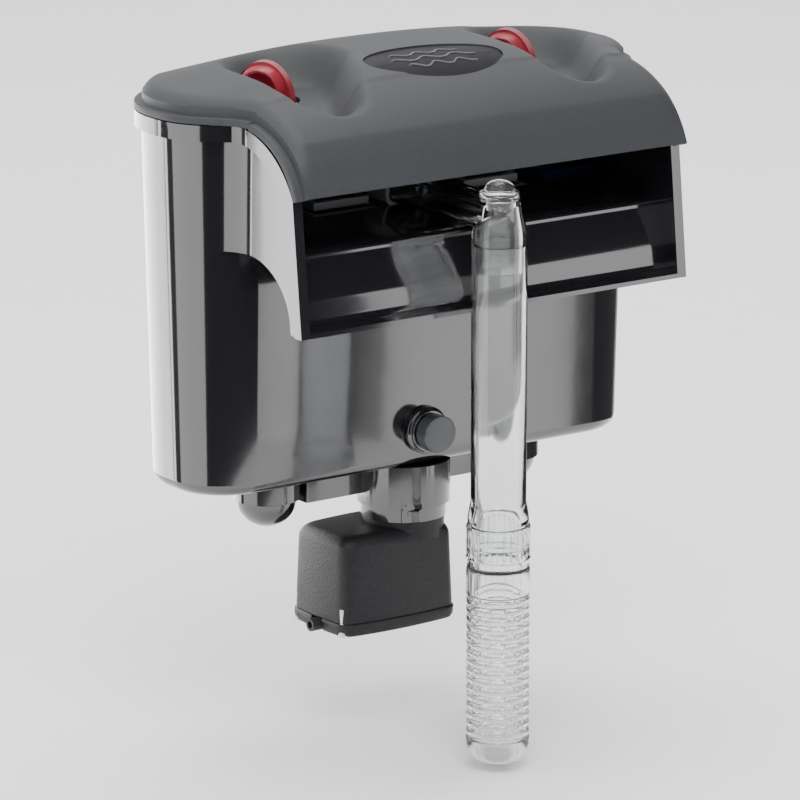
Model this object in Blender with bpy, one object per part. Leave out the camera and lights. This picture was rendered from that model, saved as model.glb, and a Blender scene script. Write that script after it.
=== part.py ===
"""Hang-on-back aquarium filter, modelled as separate pieces.

The frame: the origin is on the flat underside of the hook, midway along the tank's rim and midway
through the glass slot. +Z is up, -Y points into the tank and +Y away from it. Sizes below are in
millimetres and degrees, and the meshes are made in metres.
"""

import math

import bmesh
import bpy
from mathutils import Matrix, Vector

MM = 0.001
GAP = 0.3
ROUND = 24
SMALL_ROUND = 12

# Case: a rounded tank that narrows downwards, with a bowed back.
RIM_TOP = 50.2
BAND_HEIGHT = 6.4
BAND_PROUD = 2.6
CASE_HALF_WIDTH = 109.8
CASE_FRONT = 7.4
CASE_BACK = 74.0
BACK_BOW = 9.0
FRONT_RADIUS = 27.0
BACK_RADIUS = 34.0
DRAFT = math.tan(math.radians(1.3))
DRAFT_FROM = RIM_TOP - BAND_HEIGHT
CASE_BOTTOM = -100.4
BOTTOM_FILLET = 5.0
WALL = 2.6

# Hook: cheeks, chute and lip in front of the case.
CHEEK_X = 92.4
CHEEK_WALL = 2.8
CHEEK_FILLET = 20.0
FILLET_OVERRUN = 5.0
LIP_FRONT = -36.5
LIP_BOTTOM = -26.6
LIP_LEDGE = -23.6
CHEEK_FRONT_TOP = -31.2
HOOK_TOP_CENTRE = (7.5, 12.2)
HOOK_TOP_RADII = (42.0, 38.0)
HOOK_LOW_CENTRE = (2.0, -25.0)
HOOK_LOW_RADII = (29.0, 25.0)
CHUTE_FOOT_Y = -29.2
CHUTE_MIDDLE = (-27.0, -14.0)
CHUTE_TOP = (-18.0, 4.0)
WEIR_TOP = 8.5
FLOOR_PLATE = 2.6

# Lid: a shell that follows the case and hook outline, with two scooped wells.
LID_WALL = 2.3
FLANGE_OUT = 3.2
FLANGE_HEIGHT = 2.8
SIDE_HEIGHT = 3.6
SIDE_INSET = 0.6
CROWN = 7.6
CROWN_REACH = 26.0
EDGE_ROUND = 6.0
EDGE_RISE = 2.8
HOOD_FRONT_Z = 27.0
HOOD_POWER = 2.25
WELL_DEPTH = 15.0
WELL_RAMP = 15.0
WELL_BACK = (-47.0, 41.5, 28.0)
WELL_FRONT = (-60.0, -2.5, 18.0)
WELL_PITCH = 119.0

# Badge: an oval inlay on the crown.
BADGE_CENTRE = (2.0, 10.0)
BADGE_RADII = (31.0, 18.5)
BADGE_THICK = 1.6
BADGE_Z = 64.3

# Flow controls: knob, stem and rotary valve on one upright axis, each side.
VALVE_X = 59.5
VALVE_Y = 38.5
KNOB_DISC_R = 13.0
KNOB_DISC_Z = (47.4, 49.8)
KNOB_HOLE_R = 14.2
KNOB_TOP = 65.0
KNOB_FIN_THICK = 5.0
KNOB_BOSS_R = 9.6
KNOB_BOSS_LENGTH = 17.0
KNOB_DISH_R = 8.3
KNOB_AZIMUTH = {"left": 55.0, "right": 59.0}
STEM_R = 3.2
CUP_R = 13.5
CUP_DOME_R = 11.9
CUP_WALL = 2.0
CUP_STEP_Z = -111.0
CUP_BOTTOM = -122.5
PLUG_Z = (-113.6, -102.5)
PORT_R = 4.0
SEAL_WIDTH = 4.0
SEAL_HEIGHT = 3.0

# Pump: collar under the case, motor block hung in it by a bayonet.
PUMP_X = 0.0
PUMP_Y = 27.5
COLLAR_R = 19.0
COLLAR_Z = (-118.5, -99.0)
RING_R = 17.4
RING_BOTTOM = -124.0
BAR_HALF_WIDTH = 8.0
BAR_BOTTOM = -113.5
MOTOR_X = (-39.5, 13.4)
MOTOR_Y = (12.0, 50.0)
MOTOR_TOP = -126.0
MOTOR_BOTTOM = -161.8
BASE_BOTTOM = -167.6
MOTOR_GROWTH = 0.9
MOTOR_CORNER_R = 4.0
MOTOR_BULGE = (1.4, 1.8)
NECK_R = 16.6
SPIGOT_R = 14.0
SPIGOT_TOP = -116.0
ROTOR_WELL_R = 9.0
ROTOR_WELL_BOTTOM = -157.0
SPIGOT_BORE_R = 12.4
COLLAR_BORE_R = 14.6
STATOR_BAY = ((-36.0, -11.5), (16.0, 46.0), (-170.0, -138.0))
MOTOR_HOLLOW = ((-11.6, 11.0), (16.0, 46.0), (-170.0, -159.5))
CORE_BOX = ((-34.5, -12.0), (17.5, 44.5), (-156.0, -140.0))
CORE_WINDOW = ((-27.5, -18.5), (23.0, 39.0), (-160.0, -130.0))
COIL_BOX = ((-27.1, -18.9), (23.5, 38.5), (-161.0, -139.0))
COIL_SLOT = ((-24.4, -21.6), (27.5, 34.5), (-165.0, -130.0))
CABLE_NOTCH = ((-60.0, -36.5), (26.5, 33.5), (-175.0, -160.0))
BAYONET_NOTCH_X = (-13.0, -4.0)
SCREW_PLACES = ((-38.5, 15.5), (9.5, 15.5), (-38.5, 46.5), (9.5, 46.5))
GROMMET_Y = 30.0
BLADE_COUNT = 6

# Intake: clear duct, neck, tube, collars and strainer in front of the lip.
TUBE_X = -9.0
TUBE_Y = -49.5
TUBE_R = 11.0
TUBE_WALL = 1.4
DUCT_HALF = 9.0
DUCT_Z = (9.0, 20.4)
SOCKET_Y = 11.6
TUBE_END = -123.4
FLARE_Z = (-107.4, -100.9)
COLLAR_OUT_R = 12.9
SCREEN_R = 12.6
SCREEN_Z = (-197.4, -128.0)
SCREEN_RIBS_TOP = -138.4
CAP_BOTTOM = -209.4
RING_COUNT = 16

# Levelling foot low on the front wall.
FOOT_X = -2.0
FOOT_Z = -85.4
FOOT_RING_R = 9.7
FOOT_DISC_R = 7.6
FOOT_FRONT = -0.5

# Media bays.
BAY_TOP = 8.0
BAY_BOTTOM = -94.0
BASKET_X = (21.5, 52.0)
SPONGE_X = (71.0, 98.0)
BAY_Y = (14.5, 66.0)
RISER_X = -6.0
RISER_Y = 25.5
RISER_R = 10.0

COLOURS = {
    "case_gloss": ((0.012, 0.012, 0.013), 0.12, 0.0),
    "lid_matte": ((0.105, 0.112, 0.122), 0.55, 0.0),
    "badge_black": ((0.030, 0.030, 0.031), 0.35, 0.0),
    "knob_red": ((0.42, 0.030, 0.045), 0.38, 0.0),
    "motor_matte": ((0.032, 0.033, 0.035), 0.6, 0.0),
    "clear_plastic": ((0.86, 0.88, 0.90), 0.05, 0.0),
    "rubber_black": ((0.02, 0.02, 0.02), 0.7, 0.0),
    "steel": ((0.55, 0.55, 0.56), 0.3, 1.0),
    "ceramic": ((0.85, 0.83, 0.78), 0.3, 0.0),
    "copper": ((0.55, 0.22, 0.10), 0.4, 1.0),
    "magnet": ((0.06, 0.06, 0.065), 0.5, 0.3),
    "basket_grey": ((0.16, 0.17, 0.18), 0.5, 0.0),
    "sponge_blue": ((0.05, 0.16, 0.34), 0.95, 0.0),
    "floss_white": ((0.80, 0.80, 0.78), 0.95, 0.0),
    "carbon_bag": ((0.05, 0.05, 0.05), 0.9, 0.0),
    "bio_clay": ((0.62, 0.50, 0.38), 0.9, 0.0),
}


def clear_scene():
    for obj in list(bpy.data.objects):
        bpy.data.objects.remove(obj, do_unlink=True)


def material(name):
    found = bpy.data.materials.get(name)
    if found:
        return found
    colour, roughness, metallic = COLOURS[name]
    made = bpy.data.materials.new(name)
    made.use_nodes = True
    shader = made.node_tree.nodes["Principled BSDF"]
    shader.inputs["Base Color"].default_value = (*colour, 1.0)
    shader.inputs["Roughness"].default_value = roughness
    shader.inputs["Metallic"].default_value = metallic
    return made


def add_object(name, mesh_maker, finish, centre=(0.0, 0.0, 0.0)):
    """Makes a named object from a bmesh builder. Its origin is at centre, in millimetres."""
    bm = bmesh.new()
    mesh_maker(bm)
    bmesh.ops.recalc_face_normals(bm, faces=bm.faces)
    offset = Vector(centre)
    for vert in bm.verts:
        vert.co = (vert.co - offset) * MM
    mesh = bpy.data.meshes.new(name)
    bm.to_mesh(mesh)
    bm.free()
    mesh.shade_smooth()
    mesh.set_sharp_from_angle(angle=math.radians(32))
    obj = bpy.data.objects.new(name, mesh)
    obj.location = offset * MM
    bpy.context.scene.collection.objects.link(obj)
    if finish:
        mesh.materials.append(material(finish))
    return obj


def helper(name, mesh_maker):
    """A cutter or a lump that another piece's Boolean uses, left out of the part."""
    obj = add_object(name, mesh_maker, None)
    obj.hide_render = True
    obj.display_type = "WIRE"
    return obj


def boolean(obj, other, operation="DIFFERENCE"):
    modifier = obj.modifiers.new(other.name, "BOOLEAN")
    modifier.object = other
    modifier.operation = operation
    modifier.solver = "EXACT"


def loft(bm, rings):
    """Closed body through rings of equal length, flat at both ends."""
    made = [[bm.verts.new(point) for point in ring] for ring in rings]
    count = len(made[0])
    for low, high in zip(made, made[1:]):
        for i in range(count):
            j = (i + 1) % count
            bm.faces.new((low[i], low[j], high[j], high[i]))
    bm.faces.new(made[0])
    bm.faces.new(made[-1])


def prism(bm, outline, z0, z1):
    loft(bm, [[(x, y, z) for x, y in outline] for z in (z0, z1)])


def prism_x(bm, profile, x0, x1):
    """A (y, z) profile extruded along X."""
    loft(bm, [[(x, y, z) for y, z in profile] for x in (x0, x1)])


def box(bm, x, y, z):
    prism(bm, [(x[0], y[0]), (x[1], y[0]), (x[1], y[1]), (x[0], y[1])], z[0], z[1])


def turned(bm, profile, centre, segments=ROUND, axis="Z"):
    """A closed (radius, height) profile turned round an axis. Radius 0 is a point on the axis."""
    start = len(bm.verts)
    rings = []
    for radius, height in profile:
        if radius < 1e-6:
            rings.append([bm.verts.new((0.0, 0.0, height))])
            continue
        ring = []
        for i in range(segments):
            angle = 2 * math.pi * i / segments
            ring.append(bm.verts.new((radius * math.cos(angle), radius * math.sin(angle), height)))
        rings.append(ring)
    for low, high in zip(rings, rings[1:] + rings[:1]):
        if len(low) == 1 and len(high) == 1:
            continue
        for i in range(segments):
            j = (i + 1) % segments
            corners = [low[i % len(low)], low[j % len(low)], high[j % len(high)], high[i % len(high)]]
            bm.faces.new(list(dict.fromkeys(corners)))
    turn = {
        "X": Matrix.Rotation(math.radians(90), 4, "Y"),
        "Y": Matrix.Rotation(math.radians(-90), 4, "X"),
        "Z": Matrix.Identity(4),
    }[axis]
    bm.verts.ensure_lookup_table()
    for vert in bm.verts[start:]:
        vert.co = turn @ vert.co + Vector(centre)


def arc(centre, radius, start, end, steps):
    """Points on an arc, angles in degrees, both ends included."""
    points = []
    for i in range(steps + 1):
        angle = math.radians(start + (end - start) * i / steps)
        points.append((centre[0] + radius * math.cos(angle), centre[1] + radius * math.sin(angle)))
    return points


def ellipse_arc(centre, radii, start, end, steps):
    points = arc((0.0, 0.0), 1.0, start, end, steps)
    return [(centre[0] + radii[0] * c, centre[1] + radii[1] * s) for c, s in points]


def mirrored(right):
    """A closed outline from its right half, which runs from front to back."""
    return right + [(-x, y) for x, y in reversed(right) if x > 1e-6]


def bowed(x, y, half, front, back):
    """The back wall's bow, which fades towards the front."""
    along = min(max((y - front) / (back - front), 0.0), 1.0)
    return y + BACK_BOW * along * along * (1 - (x / half) ** 2)


def body_right(inset, steps=7):
    """Right half of the case outline, drawn in by inset, from the front corner to the back's middle."""
    half = CASE_HALF_WIDTH - inset
    front = CASE_FRONT + inset
    back = CASE_BACK - inset
    front_r = FRONT_RADIUS - inset
    back_r = BACK_RADIUS - inset
    points = arc((half - front_r, front + front_r), front_r, -90, 0, steps)
    points += arc((half - back_r, back - back_r), back_r, 0, 90, steps)
    points += [((half - back_r) * f, back) for f in (0.66, 0.33, 0.0)]
    return [(x, bowed(x, y, half, front, back)) for x, y in points]


def body_outline(inset, steps=7):
    return mirrored(body_right(inset, steps))


def draft_at(z):
    return (DRAFT_FROM - min(z, DRAFT_FROM)) * DRAFT


def fillet_geometry(inset, proud):
    """Where the concave fillet leaves the cheek and where it meets the case's front corner."""
    corner_r = FRONT_RADIUS - inset
    corner = (CASE_HALF_WIDTH - FRONT_RADIUS, CASE_FRONT + FRONT_RADIUS)
    radius = CHEEK_FILLET - proud
    dx = CHEEK_X + proud + radius - corner[0]
    reach = corner_r + radius
    dy = math.sqrt(reach * reach - dx * dx)
    return radius, (corner[0] + dx, corner[1] - dy), math.degrees(math.atan2(dy, -dx))


def hook_right(inset, proud, front, steps=6):
    """Right half of the hook's plan, from its front edge to inside the case."""
    radius, centre, end = fillet_geometry(inset, proud)
    points = [(CHEEK_X + proud, front)]
    points += arc(centre, radius, 180, end - FILLET_OVERRUN, steps)
    points += [(points[-1][0] - 9, points[-1][1] + 5)]
    return points


def hook_outline(inset, proud=0.0, front=LIP_FRONT):
    return mirrored(hook_right(inset, proud, front))


def case_shell(bm):
    rings = []
    for i in range(5):
        angle = math.radians(90 * i / 4)
        z = CASE_BOTTOM + BOTTOM_FILLET * (1 - math.cos(angle))
        inset = draft_at(z) + BOTTOM_FILLET * (1 - math.sin(angle))
        rings.append([(x, y, z) for x, y in body_outline(inset)])
    for z in (DRAFT_FROM, RIM_TOP + 2.0):
        rings.append([(x, y, z) for x, y in body_outline(draft_at(z))])
    loft(bm, rings)


def cavity(bm):
    bottom = CASE_BOTTOM + WALL
    rings = []
    for z in (bottom, DRAFT_FROM, RIM_TOP + 9):
        rings.append([(x, y, z) for x, y in body_outline(draft_at(z) + WALL)])
    loft(bm, rings)


def hook_block(bm):
    rings = []
    for z in (LIP_BOTTOM - 1.0, RIM_TOP + 6.0):
        rings.append([(x, y, z) for x, y in hook_outline(draft_at(z))])
    loft(bm, rings)


def top_curve(grow, steps=10, last=90.0):
    """The cheeks' and rim's top edge in (y, z), from the front's end back to the level rim."""
    a = HOOK_TOP_RADII[0] + grow
    b = HOOK_TOP_RADII[1] + grow
    first = math.degrees(math.asin((HOOD_FRONT_Z - HOOK_TOP_CENTRE[1]) / b))
    return ellipse_arc(HOOK_TOP_CENTRE, (a, b), 180 - first, 180 - last, steps)


def hook_side_trim(bm):
    """Everything of the hook that lies inside its side profile."""
    low = ellipse_arc(HOOK_LOW_CENTRE, HOOK_LOW_RADII, 180, 90, 8)
    profile = [(LIP_FRONT, LIP_BOTTOM), (LIP_FRONT + 9.0, LIP_BOTTOM)]
    profile += low + [(60.0, 0.0), (60.0, RIM_TOP + 3.0), (HOOK_TOP_CENTRE[0], RIM_TOP + 3.0)]
    profile += list(reversed(top_curve(0.0)))
    prism_x(bm, profile, -130, 130)


def band_strip(bm):
    """The strip, seen from the side, that the raised rim band fills."""
    outer = top_curve(0.0)
    inner = top_curve(-BAND_HEIGHT)
    over = RIM_TOP + 4.0
    profile = [(CHEEK_FRONT_TOP - 5.6, LIP_BOTTOM)] + outer
    profile += [(HOOK_TOP_CENTRE[0], over), (120.0, over)]
    profile += [(120.0, RIM_TOP - BAND_HEIGHT)] + list(reversed(inner))
    profile += [(LIP_FRONT + 4.4, LIP_BOTTOM)]
    prism_x(bm, profile, -130, 130)


def band_body(bm):
    prism(bm, body_outline(-BAND_PROUD), DRAFT_FROM, RIM_TOP + 5.0)


def band_hook(bm):
    prism(bm, hook_outline(0.0, BAND_PROUD * 0.6, LIP_FRONT - 0.6), LIP_BOTTOM - 2.0, RIM_TOP + 7.0)


def trough(bm):
    """The chute's space between the cheeks, open to the front and above."""
    profile = [
        (LIP_FRONT - 12, LIP_LEDGE - 1.2),
        (LIP_FRONT, LIP_LEDGE - 1.2),
        (CHUTE_FOOT_Y, LIP_LEDGE),
        CHUTE_MIDDLE,
        (CHUTE_TOP[0] - 4.2, CHUTE_TOP[1] - 4.6),
        CHUTE_TOP,
        (CASE_FRONT + 1.2, WEIR_TOP),
        (CASE_FRONT + 8, WEIR_TOP),
        (CASE_FRONT + 8, RIM_TOP + 12),
        (LIP_FRONT - 12, RIM_TOP + 12),
    ]
    side = CHEEK_X - CHEEK_WALL
    prism_x(bm, profile, -side, side)


def hook_underside(bm):
    """The hollow under the chute, between the cheeks and above the hook's lower edge."""
    profile = [
        (CHUTE_MIDDLE[0] + FLOOR_PLATE + 0.6, LIP_BOTTOM - 2),
        (CHUTE_MIDDLE[0] + FLOOR_PLATE + 1.0, CHUTE_MIDDLE[1] - 1.0),
        (CHUTE_TOP[0] + 1.6, 0.0),
        (CASE_FRONT - 1.0, 0.0),
        (CASE_FRONT - 1.0, LIP_BOTTOM - 2),
    ]
    side = CHEEK_X - CHEEK_WALL
    prism_x(bm, profile, -side, side)


def cylinder_cut(name, centre, radius, z0, z1, segments=ROUND):
    profile = [(0, z0), (radius, z0), (radius, z1), (0, z1)]
    return helper(name, lambda bm: turned(bm, profile, centre, segments))


def build_case():
    case = add_object("filter_case", case_shell, "case_gloss")
    trim = helper("trim_hook_side", hook_side_trim)
    hook = helper("lump_hook", hook_block)
    boolean(hook, trim, "INTERSECT")
    boolean(hook, helper("cut_underside", hook_underside))
    boolean(case, hook, "UNION")
    strip = helper("trim_band", band_strip)
    hook_band = helper("lump_band_hook", band_hook)
    boolean(hook_band, strip, "INTERSECT")
    boolean(case, hook_band, "UNION")
    boolean(case, helper("lump_band_body", band_body), "UNION")
    boolean(case, helper("cut_top", lambda bm: box(bm, (-140, 140), (-60, 110), (RIM_TOP, RIM_TOP + 20))))
    boolean(case, helper("cut_cavity", cavity))
    boolean(case, helper("cut_trough", trough))
    for side, x in (("left", -VALVE_X), ("right", VALVE_X)):
        boolean(case, cylinder_cut(f"cut_stem_{side}", (x, VALVE_Y, 0), STEM_R + 1.0, -110, -80, SMALL_ROUND))
    boolean(case, cylinder_cut("cut_riser", (RISER_X, RISER_Y, 0), RISER_R - 2.2, -110, -80))
    foot_hole = helper("cut_foot", lambda bm: turned(
        bm, [(0, 0), (4.4, 0), (4.4, 16), (0, 16)], (FOOT_X, CASE_FRONT - 2, FOOT_Z), SMALL_ROUND, "Y"))
    boolean(case, foot_hole)
    return case


def lid_right():
    """Right half of the lid's side wall in plan, from the hood's front to the back, with its profile.

    Each row holds x, y, the edge's height, and the in-pointing (y, z) direction of its side wall.
    """
    rows = []
    grow = FLANGE_HEIGHT + SIDE_HEIGHT + GAP
    a = HOOK_TOP_RADII[0] + grow
    b = HOOK_TOP_RADII[1] + grow
    first = math.asin((HOOD_FRONT_Z - HOOK_TOP_CENTRE[1]) / b)
    inset = SIDE_INSET
    radius, centre, end = fillet_geometry(0.0, -inset)
    steps = 8
    for i in range(steps + 1):
        angle = first + (math.pi / 2 - first) * i / steps
        c = math.cos(angle) ** (2 / HOOD_POWER)
        s = math.sin(angle) ** (2 / HOOD_POWER)
        y = HOOK_TOP_CENTRE[0] - a * c
        z = HOOK_TOP_CENTRE[1] + b * s
        if y < centre[1] - 1.0:
            rows.append((CHEEK_X - inset, y, z, (math.cos(angle), -math.sin(angle))))
    top = HOOK_TOP_CENTRE[1] + b
    for x, y in arc(centre, radius, 180, end, 5):
        rows.append((x, y, top, (0.0, -1.0)))
    corner = (CASE_HALF_WIDTH - FRONT_RADIUS, CASE_FRONT + FRONT_RADIUS)
    start = end - 180.0
    for x, y in arc(corner, FRONT_RADIUS - inset, start, 0, 4)[1:]:
        rows.append((x, y, top, (0.0, -1.0)))
    back = (CASE_HALF_WIDTH - BACK_RADIUS, CASE_BACK - BACK_RADIUS)
    for x, y in arc(back, BACK_RADIUS - inset, 0, 90, 8):
        rows.append((x, y, top, (0.0, -1.0)))
    return rows


def well_drop(x, y):
    """How far a finger well lowers the lid at a point."""
    drop = 0.0
    for shift in (0.0, WELL_PITCH):
        ax, ay, ar = WELL_BACK
        bx, by, br = WELL_FRONT
        dx, dy = bx - ax, by - ay
        along = ((x - shift - ax) * dx + (y - ay) * dy) / (dx * dx + dy * dy)
        along = min(max(along, 0.0), 1.0)
        near = math.hypot(x - shift - ax - dx * along, y - ay - dy * along)
        inside = min(max((ar + (br - ar) * along - near) / WELL_RAMP, 0.0), 1.0)
        drop += WELL_DEPTH * inside * inside * (3 - 2 * inside)
    return drop


def lid_columns():
    """Where the lid's columns stand across its width, closer together at the edges."""
    columns = []
    count = 18
    for i in range(count + 1):
        t = 2 * i / count - 1
        columns.append(math.copysign(1 - (1 - abs(t)) ** 1.15, t))
    return columns


def lid_point(row, s):
    """A point of the lid's outer surface: the edge, lifted by the rounding and the crown."""
    half, y, edge, inward = row
    inner_half = CASE_HALF_WIDTH - SIDE_INSET
    x = s * half
    along = min(max((y - CASE_FRONT) / (CASE_BACK - CASE_FRONT), 0.0), 1.0)
    y_bowed = y + BACK_BOW * along * along * (1 - (x / inner_half) ** 2)
    back = CASE_BACK - SIDE_INSET + BACK_BOW * (1 - (x / inner_half) ** 2)
    fade = min(max((y - LIP_FRONT) / 55.0, 0.0), 1.0)
    level = 1 - min((back - y_bowed) / CROWN_REACH, 1.0)
    crown = CROWN * math.sin(fade * math.pi / 2) ** 2 * (1 - abs(s) ** 2.4) * (1 - level * level)
    near = min((1 - abs(s)) * half, max(back - y_bowed, 0.0), EDGE_ROUND)
    away = 1 - near / EDGE_ROUND
    lift = EDGE_RISE * (1 - away * away) * min(fade * 6.0, 1.0)
    drop = well_drop(x, y_bowed)
    return Vector((x, y_bowed - inward[0] * lift, edge - inward[1] * lift + crown - drop))


def lid_shell(bm):
    rows = lid_right()
    columns = lid_columns()
    top = [[lid_point(row, s) for s in columns] for row in rows]
    last_row = len(top) - 1
    last_col = len(columns) - 1

    def normal(j, i):
        across = top[j][min(i + 1, last_col)] - top[j][max(i - 1, 0)]
        along = top[min(j + 1, last_row)][i] - top[max(j - 1, 0)][i]
        return across.cross(along).normalized()

    upper = [[bm.verts.new(point) for point in line] for line in top]
    lower = []
    for j, line in enumerate(top):
        made = []
        for i, point in enumerate(line):
            on_edge = i in (0, last_col) or j == last_row
            if on_edge:
                made.append(None)
                continue
            made.append(bm.verts.new(point - normal(j, i) * LID_WALL))
        lower.append(made)
    # The side wall, step and flange run round three sides, from the hood's left front corner.
    path = [(j, 0) for j in range(last_row + 1)]
    path += [(last_row, i) for i in range(1, last_col)]
    path += [(j, last_col) for j in range(last_row, -1, -1)]
    plan = [Vector((top[j][i].x, top[j][i].y, 0)) for j, i in path]
    outward = []
    for k in range(len(path)):
        run = plan[min(k + 1, len(plan) - 1)] - plan[max(k - 1, 0)]
        if run.length < 1e-6 or path[k][0] < 8:
            side = -1.0 if path[k][1] == 0 else 1.0
            outward.append(Vector((side, 0, 0)))
        else:
            outward.append(Vector((-run.y, run.x, 0)).normalized())
    strips = [[upper[j][i] for j, i in path]]
    steps = (
        (SIDE_HEIGHT, 0.0),
        (SIDE_HEIGHT, FLANGE_OUT),
        (SIDE_HEIGHT + FLANGE_HEIGHT, FLANGE_OUT),
        (SIDE_HEIGHT + FLANGE_HEIGHT, -LID_WALL),
        (SIDE_HEIGHT - 1.0, -LID_WALL),
    )
    for down, out in steps:
        ring = []
        for k, (j, i) in enumerate(path):
            inward = rows[j][3]
            place = top[j][i] + Vector((0, inward[0] * down, inward[1] * down)) + outward[k] * out
            ring.append(bm.verts.new(place))
        strips.append(ring)
    for first, second in zip(strips, strips[1:]):
        for k in range(len(path) - 1):
            bm.faces.new((first[k], first[k + 1], second[k + 1], second[k]))
    inner = {place: vert for place, vert in zip(path, strips[-1])}

    def under(j, i):
        return inner.get((j, i)) or lower[j][i]

    for j in range(last_row):
        for i in range(last_col):
            bm.faces.new((upper[j][i], upper[j][i + 1], upper[j + 1][i + 1], upper[j + 1][i]))
            quad = (under(j, i), under(j + 1, i), under(j + 1, i + 1), under(j, i + 1))
            bm.faces.new(quad)
    for i in range(last_col):
        bm.faces.new((upper[0][i], under(0, i), under(0, i + 1), upper[0][i + 1]))
    for end in (0, len(path) - 1):
        bm.faces.new([strip[end] for strip in strips])
    bmesh.ops.triangulate(bm, faces=[face for face in bm.faces if len(face.verts) > 4])


def badge_top(x, y):
    """Height of the crown's surface under the badge."""
    return BADGE_Z - 0.00075 * (x - BADGE_CENTRE[0]) ** 2 - 0.0008 * (y - BADGE_CENTRE[1]) ** 2




def badge_solid(bm, grow, low, high):
    rings = []
    for down in (low, high):
        ring = []
        for x, y in ellipse_arc(BADGE_CENTRE, (BADGE_RADII[0] + grow, BADGE_RADII[1] + grow), 0, 352.5, 47):
            ring.append((x, y, badge_top(x, y) + down))
        rings.append(ring)
    loft(bm, rings)


def build_lid():
    lid = add_object("lid", lid_shell, "lid_matte")
    for side, x in (("left", -VALVE_X), ("right", VALVE_X)):
        boolean(lid, cylinder_cut(f"cut_knob_{side}", (x, VALVE_Y, 0), KNOB_HOLE_R, 30, 80))
    boolean(lid, helper("cut_badge", lambda bm: badge_solid(bm, GAP, -BADGE_THICK, 12.0)))
    add_object("badge_plate", lambda bm: badge_solid(bm, 0.0, -BADGE_THICK + GAP, -0.2), "badge_black")


def knob_turn(side):
    """Rotation that points the knob's dish the way it rests."""
    return Matrix.Rotation(math.radians(-KNOB_AZIMUTH[side]), 4, "Z")


def knob_fin(bm):
    height = KNOB_TOP - KNOB_DISC_Z[1]
    outline = [(KNOB_DISC_R - 1.4, -1.0)]
    outline += [((KNOB_DISC_R - 1.4) * math.cos(a), height * math.sin(a)) for a in
                [math.radians(15 * k) for k in range(0, 13)]]
    outline += [(-KNOB_DISC_R + 1.4, -1.0)]
    loft(bm, [[(x, y, z + KNOB_DISC_Z[1]) for x, z in outline]
              for y in (-KNOB_FIN_THICK / 2, KNOB_FIN_THICK / 2)])


def build_knob(side, x):
    centre = (x, VALVE_Y, 0)
    low, high = KNOB_DISC_Z
    disc = [(0, low), (KNOB_DISC_R, low), (KNOB_DISC_R, high), (0, high)]
    knob = add_object(f"{side}_flow_knob", lambda bm: turned(bm, disc, centre), "knob_red", centre)
    boss_z = KNOB_DISC_Z[1] + KNOB_BOSS_R - 1.6
    fin = helper(f"lump_fin_{side}", knob_fin)
    half = KNOB_BOSS_LENGTH / 2
    boss = helper(f"lump_boss_{side}", lambda bm: turned(
        bm, [(0, -half), (KNOB_BOSS_R, -half), (KNOB_BOSS_R, half), (0, half)], (0, 0, boss_z), 16, "Y"))
    place = Matrix.Translation(Vector(centre) * MM) @ knob_turn(side)
    for lump in (fin, boss):
        lump.matrix_world = place
        boolean(knob, lump, "UNION")
    for end in (-1, 1):
        dish = helper(f"cut_dish_{side}_{end + 1}", lambda bm: turned(
            bm, dish_profile(end * half), (0, 0, boss_z), 16, "Y"))
        dish.matrix_world = place
        boolean(knob, dish)
    boolean(knob, cylinder_cut(f"cut_socket_{side}", centre, STEM_R + GAP, 30, high + 6, SMALL_ROUND))


def dish_profile(end):
    """A shallow round hollow in a boss face, turned about the boss's axis."""
    sign = 1 if end > 0 else -1
    depth = 3.4
    points = [(0.0, end - sign * depth)]
    for k in range(1, 5):
        radius = KNOB_DISH_R * k / 4
        points.append((radius, end - sign * depth * (1 - (k / 4) ** 2)))
    points += [(KNOB_DISH_R, end + sign * 3.0), (0.0, end + sign * 3.0)]
    return points


def build_valve(side, x):
    centre = (x, VALVE_Y, 0)
    build_knob(side, x)
    stem_top = KNOB_DISC_Z[1] + 5.5
    stem = [(0, PLUG_Z[1] + GAP), (STEM_R, PLUG_Z[1] + GAP), (STEM_R, stem_top), (0, stem_top)]
    add_object(f"{side}_valve_stem", lambda bm: turned(bm, stem, centre, SMALL_ROUND), "basket_grey", centre)
    bore = CUP_DOME_R - CUP_WALL
    plug_r = bore - GAP
    plug = [(0, PLUG_Z[0]), (plug_r, PLUG_Z[0]), (plug_r, PLUG_Z[1]), (0, PLUG_Z[1])]
    barrel = add_object(f"{side}_valve_plug", lambda bm: turned(bm, plug, centre, 24), "ceramic", centre)
    port_z = (PLUG_Z[0] + PLUG_Z[1]) / 2
    port = helper(f"cut_port_{side}", lambda bm: turned(
        bm, [(0, -20), (PORT_R, -20), (PORT_R, 20), (0, 20)], (x, VALVE_Y, port_z), SMALL_ROUND, "X"))
    boolean(barrel, port)
    cup_profile = [(bore, CASE_BOTTOM - GAP), (CUP_R, CASE_BOTTOM - GAP), (CUP_R, CUP_STEP_Z)]
    dome_height = CUP_STEP_Z - 0.6 - CUP_BOTTOM
    for k in range(0, 7):
        angle = math.radians(90 * k / 6)
        cup_profile.append((CUP_DOME_R * math.cos(angle), CUP_STEP_Z - 0.6 - dome_height * math.sin(angle)))
    cup_profile[-1] = (0.0, CUP_BOTTOM)
    cup_profile += [(0.0, PLUG_Z[0] - GAP), (bore, PLUG_Z[0] - GAP)]
    add_object(f"{side}_valve_cup", lambda bm: turned(bm, cup_profile, centre), "case_gloss", centre)
    seal_z = CASE_BOTTOM + WALL + GAP
    seal = ring_profile(STEM_R + GAP, STEM_R + SEAL_WIDTH, seal_z, seal_z + SEAL_HEIGHT)
    add_object(f"{side}_stem_seal", lambda bm: turned(bm, seal, centre, SMALL_ROUND), "rubber_black", centre)


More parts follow.
